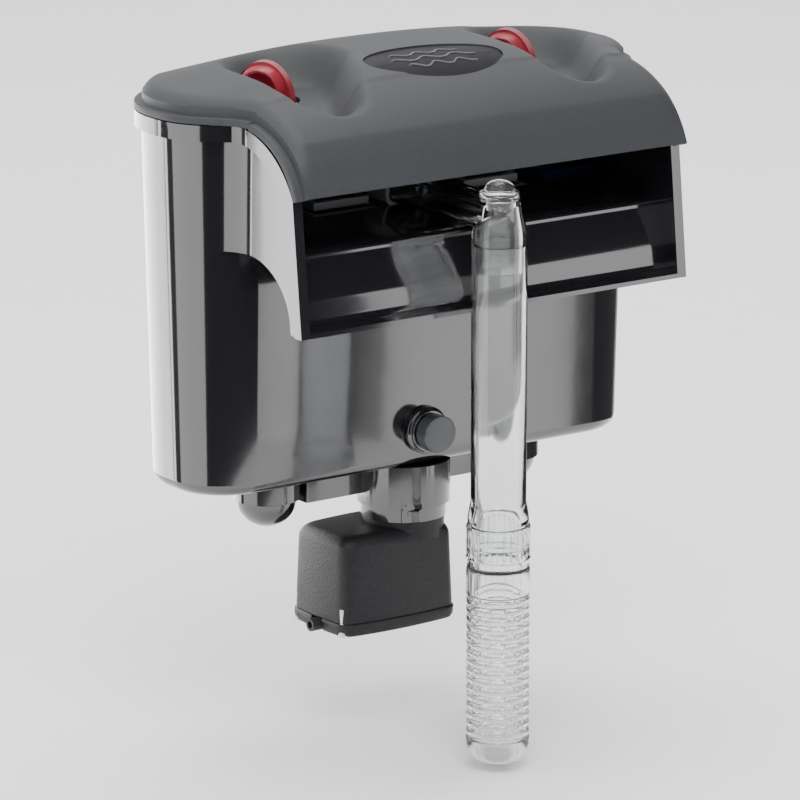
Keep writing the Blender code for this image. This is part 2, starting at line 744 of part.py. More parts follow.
def rounded_box(x, y, radius, steps=3):
    corners = (((x[1] - radius), (y[0] + radius), -90), ((x[1] - radius), (y[1] - radius), 0),
               ((x[0] + radius), (y[1] - radius), 90), ((x[0] + radius), (y[0] + radius), 180))
    points = []
    for cx, cy, start in corners:
        points += arc((cx, cy), radius, start, start + 90, steps)
    return points


def build_manifold():
    """The bar that joins the cups, with the pump's collar in its middle, open below."""
    centre = (PUMP_X, PUMP_Y, 0)
    top = CASE_BOTTOM - GAP
    reach = VALVE_X - CUP_R - GAP - 0.2
    bar_y = (VALVE_Y - BAR_HALF_WIDTH, VALVE_Y + BAR_HALF_WIDTH)
    bar = add_object("flow_manifold", lambda bm: box(
        bm, (-reach, reach), bar_y, (BAR_BOTTOM, top - 0.4)), "case_gloss")
    collar = [(0, RING_BOTTOM), (RING_R, RING_BOTTOM), (RING_R, COLLAR_Z[0]), (COLLAR_R, COLLAR_Z[0]),
              (COLLAR_R, top), (0, top)]
    boolean(bar, helper("lump_collar", lambda bm: turned(bm, collar, centre)), "UNION")
    bore = [(0, RING_BOTTOM - 5), (COLLAR_BORE_R, RING_BOTTOM - 5), (COLLAR_BORE_R, -103.0), (0, -103.0)]
    boolean(bar, helper("cut_collar_bore", lambda bm: turned(bm, bore, centre, 28)))
    boolean(bar, cylinder_cut("cut_collar_inlet", (RISER_X, RISER_Y, 0), RISER_R - 2.2, -104, -90))
    boolean(bar, helper("cut_notch", lambda bm: box(
        bm, BAYONET_NOTCH_X, (0, 12.5), (COLLAR_Z[0] - 1, COLLAR_Z[0] + 3.0))))


def motor_ring(z, grow, squeeze=1.0):
    """The motor block's bulged outline at a height."""
    x = (MOTOR_X[0] - grow, MOTOR_X[1] + grow)
    y = (MOTOR_Y[0] - grow, MOTOR_Y[1] + grow)
    mid = ((x[0] + x[1]) / 2, (y[0] + y[1]) / 2)
    ring = []
    for px, py in rounded_box(x, y, MOTOR_CORNER_R):
        bulge = MOTOR_BULGE[0] * (1 - ((py - mid[1]) / (y[1] - mid[1])) ** 2)
        swell = MOTOR_BULGE[1] * (1 - ((px - mid[0]) / (x[1] - mid[0])) ** 2)
        px += math.copysign(max(bulge, 0.0), px - mid[0]) * (abs(px - mid[0]) > 20)
        py += math.copysign(max(swell, 0.0), py - mid[1]) * (abs(py - mid[1]) > 14)
        ring.append((mid[0] + (px - mid[0]) * squeeze, mid[1] + (py - mid[1]) * squeeze, z))
    return ring


def build_motor():
    centre = (PUMP_X, PUMP_Y, 0)

    def block(bm):
        rings = [motor_ring(MOTOR_BOTTOM, MOTOR_GROWTH), motor_ring(-148.0, MOTOR_GROWTH * 0.5),
                 motor_ring(MOTOR_TOP - 5.0, 0.0), motor_ring(MOTOR_TOP - 2.6, -0.8),
                 motor_ring(MOTOR_TOP - 0.8, -4.0, 0.96), motor_ring(MOTOR_TOP, 0.0, 0.72)]
        loft(bm, rings)

    motor = add_object("motor_housing", block, "motor_matte", centre)
    neck = [(0, MOTOR_TOP - 6), (NECK_R, MOTOR_TOP - 6), (NECK_R, RING_BOTTOM - GAP),
            (SPIGOT_R, RING_BOTTOM - GAP), (SPIGOT_R, SPIGOT_TOP), (0, SPIGOT_TOP)]
    boolean(motor, helper("lump_neck", lambda bm: turned(bm, neck, centre)), "UNION")
    well = [(0, ROTOR_WELL_BOTTOM), (ROTOR_WELL_R, ROTOR_WELL_BOTTOM), (ROTOR_WELL_R, -122.0),
            (SPIGOT_BORE_R, -122.0), (SPIGOT_BORE_R, -110.0), (0, -110.0)]
    boolean(motor, helper("cut_rotor_well", lambda bm: turned(bm, well, centre)))
    boolean(motor, helper("cut_stator_bay", lambda bm: box(bm, *STATOR_BAY)))
    boolean(motor, helper("cut_motor_foot", lambda bm: box(bm, *MOTOR_HOLLOW)))
    base_rings = ((MOTOR_BOTTOM - GAP, MOTOR_GROWTH + 0.3), (BASE_BOTTOM + 1.6, MOTOR_GROWTH - 0.1),
                  (BASE_BOTTOM, MOTOR_GROWTH - 1.8))
    plate = add_object("motor_base_plate", lambda bm: loft(
        bm, [motor_ring(z, grow) for z, grow in base_rings]), "motor_matte", centre)
    boolean(plate, helper("cut_cable_notch", lambda bm: box(bm, *CABLE_NOTCH)))
    grommet_centre = (0, GROMMET_Y, MOTOR_BOTTOM - 3.4 + GAP)
    grommet = [(0, -44.6), (2.7, -44.6), (2.7, -36.9), (0, -36.9)]
    piece = add_object("cable_grommet", lambda bm: turned(
        bm, grommet, grommet_centre, SMALL_ROUND, "X"), "rubber_black")
    bore = [(0, -50.0), (1.6, -50.0), (1.6, -38.4), (0, -38.4)]
    boolean(piece, helper("cut_grommet", lambda bm: turned(bm, bore, grommet_centre, SMALL_ROUND, "X")))
    for number, (x, y) in enumerate(SCREW_PLACES, 1):
        boolean(motor, cylinder_cut(f"cut_pilot_{number}", (x, y, 0), 1.6, -170, -154, 12))
        boolean(plate, cylinder_cut(f"cut_clearance_{number}", (x, y, 0), 1.6, -175, -160, 12))
        boolean(plate, cylinder_cut(f"cut_head_{number}", (x, y, 0), 3.0, -175, BASE_BOTTOM + 2.4, 12))
        screw = [(0, BASE_BOTTOM + 0.2), (2.6, BASE_BOTTOM + 0.2), (2.6, BASE_BOTTOM + 2.1),
                 (1.25, BASE_BOTTOM + 2.1), (1.25, -156.0), (0, -155.0)]
        add_object(f"base_screw_{number}", lambda bm: turned(
            bm, screw, (x, y, 0), SMALL_ROUND), "steel", (x, y, 0))


def ring_profile(inner, outer, low, high):
    return [(inner, low), (outer, low), (outer, high), (inner, high)]


def impeller_blades(bm):
    turned(bm, ring_profile(1.4, 4.2, -120.6, -106.6), (0, 0, 0), 12)


def build_rotor():
    centre = (PUMP_X, PUMP_Y, 0)
    impeller = add_object("impeller", impeller_blades, "basket_grey")
    for blade in range(BLADE_COUNT):
        vane = helper(f"lump_vane_{blade}", lambda bm: box(bm, (3.2, 11.4), (-0.8, 0.8), (-116.6, -107.0)))
        vane.matrix_world = Matrix.Rotation(2 * math.pi * blade / BLADE_COUNT, 4, "Z")
        boolean(impeller, vane, "UNION")
    disc = helper("lump_impeller_disc", lambda bm: turned(
        bm, ring_profile(1.4, 11.4, -119.0, -116.2), (0, 0, 0)))
    boolean(impeller, disc, "UNION")
    impeller.location = Vector(centre) * MM
    for lump in [obj for obj in bpy.data.objects if obj.name.startswith(("lump_vane", "lump_impeller"))]:
        lump.location = Vector(centre) * MM
    pieces = (
        ("magnet_rotor", ring_profile(1.4, 8.4, -152.0, -121.0), "magnet"),
        ("rotor_shaft", [(0, -156.0), (1.1, -156.0), (1.1, -104.8), (0, -104.8)], "ceramic"),
        ("lower_bush", ring_profile(1.4, 4.0, -156.6, -152.4), "rubber_black"),
        ("upper_bush", ring_profile(1.4, 4.0, -106.2, -104.8), "rubber_black"),
        ("volute_cover", ring_profile(4.5, 12.8, -105.6, -103.6), "basket_grey"),
    )
    for name, profile, finish in pieces:
        add_object(name, lambda bm, shape=profile: turned(bm, shape, centre, 24), finish, centre)
    oring = [(12.9, -115.4), (14.2, -115.4), (14.2, -113.8), (12.9, -113.8)]
    add_object("motor_oring", lambda bm: turned(bm, oring, centre), "rubber_black", centre)
    core = add_object("stator_core", lambda bm: box(bm, *CORE_BOX), "steel")
    boolean(core, helper("cut_core_window", lambda bm: box(bm, *CORE_WINDOW)))
    coil = add_object("stator_coil", lambda bm: box(bm, *COIL_BOX), "copper")
    boolean(coil, helper("cut_coil_slot", lambda bm: box(bm, *COIL_SLOT)))


def duct_section(grow):
    """The flat duct's rounded outline in (x, z)."""
    x = (TUBE_X - DUCT_HALF - grow, TUBE_X + DUCT_HALF + grow)
    return rounded_box(x, (DUCT_Z[0] - grow, DUCT_Z[1] + grow), 3.5 + grow)


def duct_solid(bm, grow, y0, y1):
    loft(bm, [[(x, y, z) for x, z in duct_section(grow)] for y in (y0, y1)])


def build_elbow(centre):
    """Shoulder over the tube, with the flat duct that runs back over the weir, and the plug on top."""
    shoulder = [(0, -8.0), (9.2, -8.0), (9.2, 3.0), (TUBE_R, 3.0), (TUBE_R, 5.0), (10.5, 9.5), (9.4, 14.5),
                (8.3, 18.5), (8.3, 20.4), (0, 20.4)]
    elbow = add_object("intake_elbow", lambda bm: turned(bm, shoulder, centre), "clear_plastic", centre)
    boolean(elbow, helper("lump_duct", lambda bm: duct_solid(bm, 0.0, TUBE_Y, SOCKET_Y + 4.4)), "UNION")
    bore = [(0, -12.0), (7.9, -12.0), (7.9, 9.0), (6.6, 18.0), (0, 18.0)]
    boolean(elbow, helper("cut_shoulder_bore", lambda bm: turned(bm, bore, centre)))
    boolean(elbow, helper("cut_duct_bore", lambda bm: duct_solid(bm, -1.5, TUBE_Y, 40.0)))
    boolean(elbow, cylinder_cut("cut_plug_hole", centre, 5.6, 15.0, 25.0))
    plug = [(0, 16.5), (5.3, 16.5), (5.3, 20.7), (7.5, 20.7), (7.9, 21.2), (7.9, 21.8), (7.4, 22.3),
            (7.9, 22.8),
            (7.9, 23.4), (7.5, 23.8), (6.3, 24.2), (5.2, 26.4), (3.0, 28.0), (0, 28.6)]
    add_object("elbow_plug", lambda bm: turned(bm, plug, centre), "clear_plastic", centre)


def build_intake():
    centre = (TUBE_X, TUBE_Y, 0)
    build_elbow(centre)
    outer = [(TUBE_R, 2.7), (TUBE_R, FLARE_Z[1]), (12.2, FLARE_Z[0]), (12.2, -109.4), (10.6, -110.0),
             (10.6, TUBE_END + 4)]
    inner = [(9.2, TUBE_END + 4), (9.2, -101.4), (TUBE_R - TUBE_WALL, -97.4), (TUBE_R - TUBE_WALL, 2.7)]
    add_object("intake_tube", lambda bm: turned(bm, outer + inner, centre), "clear_plastic", centre)
    collar = [(10.9, -110.4), (COLLAR_OUT_R, -110.4), (COLLAR_OUT_R, -123.6), (12.2, -124.2), (12.2, -126.8),
              (9.6, -126.8), (9.6, -120.3), (10.9, -119.8)]
    add_object("strainer_collar", lambda bm: turned(bm, collar, centre), "clear_plastic", centre)
    oring = ring_profile(11.0, 12.5, -127.8, -127.1)
    add_object("strainer_oring", lambda bm: turned(bm, oring, centre), "rubber_black", centre)
    build_screen(centre)
    dome = [(SCREEN_R, SCREEN_Z[0] - GAP)]
    dome_top = SCREEN_Z[0] - 1.5
    for k in range(1, 7):
        angle = math.radians(90 * k / 6)
        dome.append((SCREEN_R * math.cos(angle), dome_top - (dome_top - CAP_BOTTOM) * math.sin(angle)))
    dome[-1] = (0.0, CAP_BOTTOM)
    dome += [(0.0, CAP_BOTTOM + 1.6), (6.0, CAP_BOTTOM + 2.6), (10.4, SCREEN_Z[0] - 3.5),
             (10.9, SCREEN_Z[0] - GAP)]
    add_object("strainer_cap", lambda bm: turned(bm, dome, centre), "clear_plastic", centre)


def build_screen(centre):
    """The strainer: a sleeve with stacked rings, slotted through on four sides."""
    outer = [(10.0, SCREEN_Z[1]), (12.7, SCREEN_Z[1]), (12.7, SCREEN_RIBS_TOP)]
    pitch = (SCREEN_RIBS_TOP - SCREEN_Z[0] - 1.0) / RING_COUNT
    for k in range(RING_COUNT):
        top = SCREEN_RIBS_TOP - pitch * k
        outer += [(11.6, top - 0.1), (11.6, top - pitch * 0.45), (SCREEN_R, top - pitch * 0.5),
                  (SCREEN_R, top - pitch * 0.95)]
    outer += [(11.6, SCREEN_Z[0] + 0.5), (11.6, SCREEN_Z[0]), (10.0, SCREEN_Z[0])]
    screen = add_object(
        "strainer_screen", lambda bm: turned(bm, outer, centre, SMALL_ROUND), "clear_plastic", centre)
    for k in range(RING_COUNT):
        top = SCREEN_RIBS_TOP - pitch * k
        cut = helper(f"cut_slot_{k}", lambda bm: box(
            bm, (TUBE_X - 5.0, TUBE_X + 5.0), (TUBE_Y - 20, TUBE_Y + 20), (top - pitch * 0.43, top - 0.3)))
        boolean(screen, cut)


def build_riser():
    """Duct inside the case from the elbow's socket down to the pump."""
    centre = (RISER_X, RISER_Y, 0)
    low = CASE_BOTTOM + WALL + GAP
    riser = add_object("riser_duct", lambda bm: turned(
        bm, [(0, low), (RISER_R, low), (RISER_R, 29.0), (0, 29.0)], centre, 24), "basket_grey")
    boolean(riser, helper("lump_socket", lambda bm: duct_solid(bm, 2.0, SOCKET_Y, 25.2)), "UNION")
    boolean(riser, helper("cut_riser_bore", lambda bm: turned(
        bm, [(0, -120), (RISER_R - 2, -120), (RISER_R - 2, 26.5), (0, 26.5)], centre)))
    boolean(riser, helper("cut_socket_bore", lambda bm: duct_solid(bm, GAP, 0.0, SOCKET_Y + 5.0)))
    boolean(riser, helper("cut_socket_throat", lambda bm: duct_solid(bm, -1.5, 10.0, 22.6)))


def build_foot():
    """Levelling foot: the turning ring on the front wall and the foot it drives out."""
    wall = CASE_FRONT + draft_at(FOOT_Z)
    centre = (FOOT_X, 0, FOOT_Z)
    ring = [(4.0 + GAP * 2, wall - GAP), (FOOT_RING_R, wall - GAP), (FOOT_RING_R, wall - 2.4),
            (8.6, wall - 3.0), (8.6, wall - 4.6), (4.0 + GAP * 2, wall - 4.6)]
    add_object("levelling_ring", lambda bm: turned(bm, ring, centre, ROUND, "Y"), "rubber_black",
               (FOOT_X, wall, FOOT_Z))
    foot = [(0, FOOT_FRONT - 0.6), (FOOT_DISC_R - 0.8, FOOT_FRONT - 0.6), (FOOT_DISC_R, FOOT_FRONT + 0.2),
            (FOOT_DISC_R, wall - 4.9), (4.0, wall - 4.9), (4.0, wall + 3.6), (0, wall + 3.6)]
    add_object("levelling_foot", lambda bm: turned(bm, foot, centre, ROUND, "Y"), "case_gloss",
               (FOOT_X, wall, FOOT_Z))


def build_media():
    for side, sign in (("left", -1), ("right", 1)):
        x = tuple(sorted(sign * value for value in BASKET_X))
        basket = add_object(
            f"{side}_media_basket", lambda bm: box(bm, x, BAY_Y, (BAY_BOTTOM, BAY_TOP)), "basket_grey")
        inner_x = (x[0] + 1.6, x[1] - 1.6)
        inner_y = (BAY_Y[0] + 1.6, BAY_Y[1] - 1.6)
        boolean(basket, helper(f"cut_basket_{side}", lambda bm: box(
            bm, inner_x, inner_y, (BAY_BOTTOM + 1.6, BAY_TOP + 5))))
        for k in range(4):
            y0 = BAY_Y[0] + 6.0 + 12.0 * k
            boolean(basket, helper(f"cut_slot_{side}_{k}", lambda bm: box(
                bm, (x[0] + 5, x[1] - 5), (y0, y0 + 5.0), (BAY_BOTTOM - 3, BAY_BOTTOM + 4))))
        fill = {"left": ("carbon_cartridge", "carbon_bag"), "right": ("bio_media", "bio_clay")}[side]
        fill_x = (inner_x[0] + 1, inner_x[1] - 1)
        fill_y = (inner_y[0] + 1, inner_y[1] - 1)
        add_object(fill[0], lambda bm: box(bm, fill_x, fill_y, (BAY_BOTTOM + 2.2, BAY_TOP - 24)), fill[1])
        build_handle(side, x)
        sponge_x = tuple(sorted(sign * value for value in SPONGE_X))
        add_object(f"{side}_sponge", lambda bm: box(
            bm, sponge_x, (BAY_Y[0] + 14, BAY_Y[1] - 12), (BAY_BOTTOM, BAY_TOP)), "sponge_blue")
    inner = tuple(value - 1.6 for value in BASKET_X)
    pad_y = (BAY_Y[0] + 2.6, BAY_Y[1] - 2.6)
    add_object("floss_pad", lambda bm: box(
        bm, (inner[0] + 4.2, inner[1] - 1), pad_y, (BAY_TOP - 23.5, BAY_TOP - 12)), "floss_white")


def build_handle(side, x):
    """A bail that lies flat on its basket and swings up round a level pin line at the middle."""
    y = (BAY_Y[0] + BAY_Y[1]) / 2
    z = BAY_TOP + 2.4
    width = (x[0] + 2.0, x[1] - 2.0)
    bail = add_object(f"{side}_basket_handle", lambda bm: box(
        bm, width, (y - 22.0, y + 1.5), (z - 1.5, z + 1.5)), "basket_grey", ((x[0] + x[1]) / 2, y, z))
    boolean(bail, helper(f"cut_bail_{side}", lambda bm: box(
        bm, (width[0] + 3.0, width[1] - 3.0), (y - 19.0, y + 5.0), (z - 5, z + 5))))


def main():
    clear_scene()
    build_case()
    build_lid()
    for side, x in (("left", -VALVE_X), ("right", VALVE_X)):
        build_valve(side, x)
    build_manifold()
    build_motor()
    build_rotor()
    build_riser()
    build_intake()
    build_foot()
    build_media()


main()
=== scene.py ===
"""Looks of the hang-on-back filter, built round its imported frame.

Lengths are in millimetres in the shape functions, and the meshes are made in metres.
"""

import math
from math import cos, pi, radians, sin

import bmesh
import bpy
from mathutils import Matrix, Vector


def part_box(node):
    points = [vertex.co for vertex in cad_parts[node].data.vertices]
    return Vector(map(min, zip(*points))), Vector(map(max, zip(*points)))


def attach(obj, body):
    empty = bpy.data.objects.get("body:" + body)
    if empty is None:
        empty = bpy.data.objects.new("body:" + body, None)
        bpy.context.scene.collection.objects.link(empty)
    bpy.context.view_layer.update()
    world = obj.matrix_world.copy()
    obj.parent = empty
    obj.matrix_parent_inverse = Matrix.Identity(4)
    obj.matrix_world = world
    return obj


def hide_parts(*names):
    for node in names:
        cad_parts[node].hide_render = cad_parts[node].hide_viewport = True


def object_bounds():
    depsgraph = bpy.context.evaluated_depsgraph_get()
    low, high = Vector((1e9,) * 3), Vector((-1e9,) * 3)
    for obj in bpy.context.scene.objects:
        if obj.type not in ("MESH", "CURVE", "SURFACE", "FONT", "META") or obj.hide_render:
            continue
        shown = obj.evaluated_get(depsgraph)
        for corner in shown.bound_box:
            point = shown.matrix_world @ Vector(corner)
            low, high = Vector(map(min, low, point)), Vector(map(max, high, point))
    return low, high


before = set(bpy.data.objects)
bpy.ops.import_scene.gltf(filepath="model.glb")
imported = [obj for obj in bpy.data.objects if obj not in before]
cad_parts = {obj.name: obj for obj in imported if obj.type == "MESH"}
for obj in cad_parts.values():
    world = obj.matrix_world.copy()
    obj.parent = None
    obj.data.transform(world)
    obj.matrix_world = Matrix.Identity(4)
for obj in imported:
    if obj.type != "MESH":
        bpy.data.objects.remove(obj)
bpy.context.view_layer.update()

MM = 0.001
TINY = 1e-6
FINE = 96  # sides of a turned piece
FINEST = 128  # sides of a large one
COARSE = 32  # sides of a small hole
SHARP = 32.0  # edges with more degrees than this between their faces are shaded sharp
MOULD_SHARP = 40.0
TURNED_SHARP = 30.0
BEVEL_FROM = 40.0  # edges with more degrees than this are rounded

# Shapes shared with the frame's design, in millimetres.
RIM_TOP = 50.2
BAND_HEIGHT = 6.4
BAND_PROUD = 2.6
CASE_HALF_WIDTH = 109.8
CASE_FRONT = 7.4
CASE_BACK = 74.0
BACK_BOW = 9.0
FRONT_RADIUS = 27.0
BACK_RADIUS = 34.0
DRAFT = math.tan(radians(1.3))
DRAFT_FROM = RIM_TOP - BAND_HEIGHT
CASE_BOTTOM = -100.4
BOTTOM_FILLET = 5.0
WALL = 2.6
CHEEK_X = 92.4
CHEEK_WALL = 2.8
CHEEK_FILLET = 20.0
FILLET_OVERRUN = 5.0
LIP_FRONT = -36.5
LIP_BOTTOM = -26.6
LIP_LEDGE = -23.6
HOOK_TOP_CENTRE = (7.5, 12.2)
HOOK_TOP_RADII = (42.0, 38.0)
HOOK_LOW_CENTRE = (2.0, -25.0)
HOOK_LOW_RADII = (29.0, 25.0)
CHUTE_FOOT_Y = -29.2
CHUTE_MIDDLE = (-27.0, -14.0)
CHUTE_TOP = (-18.0, 4.0)
WEIR_TOP = 8.5
LID_WALL = 2.3
FLANGE_OUT = 3.2
FLANGE_HEIGHT = 2.8
SIDE_HEIGHT = 3.6
SIDE_INSET = 0.6
SEAT_GAP = 0.3
CROWN = 7.6
CROWN_REACH = 26.0
EDGE_ROUND = 6.0
EDGE_RISE = 2.8
HOOD_FRONT_Z = 27.0
HOOD_POWER = 2.25
WELL_DEPTH = 15.0
WELL_RAMP = 15.0
WELL_BACK = (-47.0, 41.5, 28.0)
WELL_FRONT = (-60.0, -2.5, 18.0)
WELL_PITCH = 119.0
KNOB_HOLE_R = 14.2
KNOB_AZIMUTH = {"left": 55.0, "right": 59.0}
SIDES = ("left", "right")

# Finishing shapes of the case.
BOTTOM_STEPS = 10
BACK_STEPS = 12
CUT_X = 130  # cutters and trims reach this far to each side
SPARE_TOP = 2.0  # wall above the rim, cut off with the top
LIP_DEPTH = 9.0
HOLLOW_EASE = (3.2, 3.6, 1.6)
HOOK_RUN_IN = (9, 5)
STRIP_WIDTH = 4.4  # of the band at the lip
CHUTE_STEPS = 8
TOP_CUT = ((-140, 140), (-60, 110), (RIM_TOP, RIM_TOP + 20))
CASE_EDGE = 0.45
FOOT_HOLE = (4.4, (0, 16))
STEM_HOLE = (4.2, (-110, -80))

# Finishing shapes of the lid.
LID_STEPS = 44
LID_COLUMNS = 130
EDGE_CROWDING = 1.15
CROWN_POWER = 2.4
FADE_LENGTH = 55.0
FLANGE_ROUND = 0.5
FLANGE_BEVEL = 0.3
KNOB_HOLE_SPAN = (30, 80)
BADGE_GAP = 0.35
BADGE_RECESS = (-1.0, 9.0)
BADGE_SPAN = (-0.9, -0.55)
WAVES = ((7.0, 34.0), (0.0, 42.0), (-7.0, 34.0))  # row's y, length
WAVE_HEIGHT = 1.7
WAVE_STEPS = 60
WAVE_SECTION = ((-0.75, 0.0), (-0.45, 0.55), (0.45, 0.55), (0.75, 0.0))
WAVE_BASE = -0.75
WAVE_TAPER = 0.08
WAVE_THINNEST = 0.1
WAVE_SHARP = 50

# Knobs: a round base, an upright fin and a boss through it with a dish in each end.
KNOB_BASE = 2.4
KNOB_EDGE = 0.5
FIN_HALF = 2.4
FIN_INSET = 0.6
FIN_STEPS = 40
BOSS_R = 8.6
BOSS_HALF = 7.4
BOSS_SINK = 2.2
BOSS_FLARE = 1.3
BOSS_FLARE_HALF = 2.0
BOSS_SIDES = 80
DISH_DEPTH = 3.0
DISH_RIM = 1.2
DISH_STEPS = 12
DISH_CLEAR = 3
POINTER_AT = 0.62
POINTER_SIZE = (1.0, 4, 6.2)

# Valve cups and manifold.
CUP_DOME_INSET = 1.6
CUP_WALL = 2.4
CUP_STEP = 11.5
CUP_STEP_DROP = 0.7
CUP_FLOOR = 8.8
DOME_ANGLES = range(6, 91, 6)
BAR_HALF = 8.0
BAR_TOP = 0.4
BAR_BOTTOM = 13.2
BAR_CORNER = 1.0
COLLAR_LIP = 1.6
COLLAR_STEP = (5.2, 5.8)
COLLAR_BORE = (14.6, -103.0)
COLLAR_NOTCH = ((-13.0, -4.0), (0, 12.5), (4.6, 8.0))
COLLAR_SLOT = ((-13.0, -10.6), (0, 14.0), (-3.0, 6.0))
MOULD_EDGE = 0.35

# Pump motor.
MOTOR_MARGIN = (2.3, 2.7)  # what the outline keeps off the node's box in x and y
MOTOR_CORNER = 4.0
MOTOR_CORNER_STEPS = 6
MOTOR_SIDE_STEPS = 14
MOTOR_BULGE = (1.4, 1.8)
SHOULDER_DROP = 6.0
SHOULDER_RISE = 5.6
SHOULDER_IN = 5.2
SHOULDER_STEPS = 7
NECK_R = (16.6, 14.0)
NECK_TOP = 1.7
WELL_PROFILE = ((0, -157.0), (9.0, -157.0), (9.0, -122.0), (12.4, -122.0), (12.4, -110.0), (0, -110.0))
COIL_BAY = ((-36, -11.5), (16, 46), (-170, -138))
ROTOR_BAY = ((-11.6, 11.0), (16, 46), (-170, -159.5))
CABLE_NOTCH = ((-60, -36.5), (26.5, 33.5), (-175, -160))
SCREW_COUNT = 4
SCREW_HEAD_HOLE = (2.0, (-175, -165.2))
SCREW_HOLE = (1.6, (-175, -155), 24)
MOTOR_EDGE = 0.25
SCREW_HEAD = ((1.2, 0.0), (1.75, 0.6), (1.75, 1.9), (1.25, 1.9))
SCREW_TIP = 1.0
SCREW_CROSS = ((1.1, 0.2), (0.2, 1.1))
SCREW_CROSS_DEPTH = 0.5

# Intake: radius and height pairs, from the top down where the piece has no node box to follow.
TUBE_R = 11.0
TUBE_NECK_R = 10.6
TUBE_BORE_R = (9.2, 9.6)
TUBE_FLARE_Z = (-100.9, -103.0, -107.4, -109.4, -110.0)
TUBE_TAPER_Z = (-101.4, -97.4)
COLLAR_R = (10.9, 9.6, 12.2)
COLLAR_CUT_Z = (-120.3, -119.8)
COLLAR_RIBS = 28
COLLAR_RIB_INNER = 11.6
COLLAR_RIB_SPAN = (12.0, 2.0)
SCREEN_INNER = 10.0
SCREEN_TOP = 10.4
SCREEN_RINGS = 16
SCREEN_SLOT = 0.42
BRIDGES = 8
BRIDGE_ANGLE = 15
SCREEN_RIBS = 22
SCREEN_RIB_ANGLE = 3.0
SCREEN_FOOT = 1.1
CAP_RIM = 1.4
DUCT_HALF = 9.0
DUCT_BOTTOM = 9.0
DUCT_CORNER = 3.5
DUCT_WALL = 1.5
DUCT_END = 40.0
ELBOW_SHOULDER = ((9.2, 3.0), (11.0, 3.0), (11.0, 5.0), (10.9, 7.0), (10.5, 9.5), (10.0, 12.0), (9.4, 14.5),
                  (8.8, 17.0), (8.3, 18.5))
ELBOW_BORE = ((0, -12.0), (7.9, -12.0), (7.9, 9.0), (6.6, 18.0), (0, 18.0))
PLUG_HOLE = (5.6, (15, 25))
ELBOW_EDGE = 0.5
PLUG_SIDE = ((5.3, 20.7), (7.5, 20.7), (7.9, 21.2), (7.9, 21.8), (7.4, 22.25), (7.9, 22.8), (7.9, 23.4),
             (7.5, 23.8), (6.4, 24.1))
PLUG_DOME = (6.0, 24.2)
PLUG_STEM = 5.3

# Levelling foot.
FOOT_BORE = 4.6
FOOT_STEM = 4.0
FOOT_STEP = (2.2, 1.6, 1.1)
FOOT_EDGES = (0.5, 0.6)
FOOT_GAP = 0.3

# Edges of the carried-over inner pieces.
SOFT_EDGE = 0.8
HARD_EDGE = 0.25


def node_box(name):
    """A frame node's lowest and highest corners in millimetres."""
    low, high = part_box(name)
    return Vector(low) * 1000, Vector(high) * 1000


def node_centre(name):
    low, high = node_box(name)
    return (low + high) / 2


# ---- mesh helpers


def linked(name, data):
    obj = bpy.data.objects.new(name, data)
    bpy.context.scene.collection.objects.link(obj)
    return obj


def new_object(name, maker, finish=None, sharp=SHARP):
    bm = bmesh.new()
    maker(bm)
    bmesh.ops.recalc_face_normals(bm, faces=bm.faces)
    for vert in bm.verts:
        vert.co *= MM
    mesh = bpy.data.meshes.new(name)
    bm.to_mesh(mesh)
    bm.free()
    mesh.shade_smooth()
    mesh.set_sharp_from_angle(angle=radians(sharp))
    obj = linked(name, mesh)
    if finish:
        mesh.materials.append(finish)
    return obj


def combine(obj, other, operation="DIFFERENCE"):
    """Applies a Boolean at once and removes the other object."""
    modifier = obj.modifiers.new("cut", "BOOLEAN")
    modifier.object = other
    modifier.operation = operation
    modifier.solver = "EXACT"
    apply_modifiers(obj, SHARP)
    bpy.data.objects.remove(other, do_unlink=True)


def apply_modifiers(obj, sharp=MOULD_SHARP):
    bpy.context.view_layer.update()
    graph = bpy.context.evaluated_depsgraph_get()
    mesh = bpy.data.meshes.new_from_object(obj.evaluated_get(graph), depsgraph=graph)
    finishes = list(obj.data.materials)
    old = obj.data
    obj.modifiers.clear()
    obj.data = mesh
    mesh.name = obj.name
    bpy.data.meshes.remove(old)
    mesh.materials.clear()
    for finish in finishes:
        mesh.materials.append(finish)
    mesh.shade_smooth()
    mesh.set_sharp_from_angle(angle=radians(sharp))


def soften(obj, width, segments=2):
    """Rounds a piece's sharp edges, as a mould would."""
    modifier = obj.modifiers.new("soften", "BEVEL")
    modifier.width = width * MM
    modifier.segments = segments
    modifier.limit_method = "ANGLE"
    modifier.angle_limit = radians(BEVEL_FROM)
    modifier.miter_outer = "MITER_ARC"


def even_shading(obj):
    """Shades by face area, so that long wall faces stay smooth beside small ones."""
    modifier = obj.modifiers.new("even", "WEIGHTED_NORMAL")
    modifier.keep_sharp = True
    modifier.weight = 80


def loft(bm, rings):
    """Skins rings of the same point count and closes both ends."""
    made = [[bm.verts.new(point) for point in ring] for ring in rings]
    count = len(made[0])
    for low, high in zip(made, made[1:]):
        for i in range(count):
            j = (i + 1) % count
            bm.faces.new((low[i], low[j], high[j], high[i]))
    bm.faces.new(made[0])
    bm.faces.new(made[-1])


def prism(bm, outline, z0, z1):
    loft(bm, [[(x, y, z) for x, y in outline] for z in (z0, z1)])


def prism_x(bm, profile, x0, x1):
    loft(bm, [[(x, y, z) for y, z in profile] for x in (x0, x1)])


def box(bm, x, y, z):
    prism(bm, [(x[0], y[0]), (x[1], y[0]), (x[1], y[1]), (x[0], y[1])], z[0], z[1])


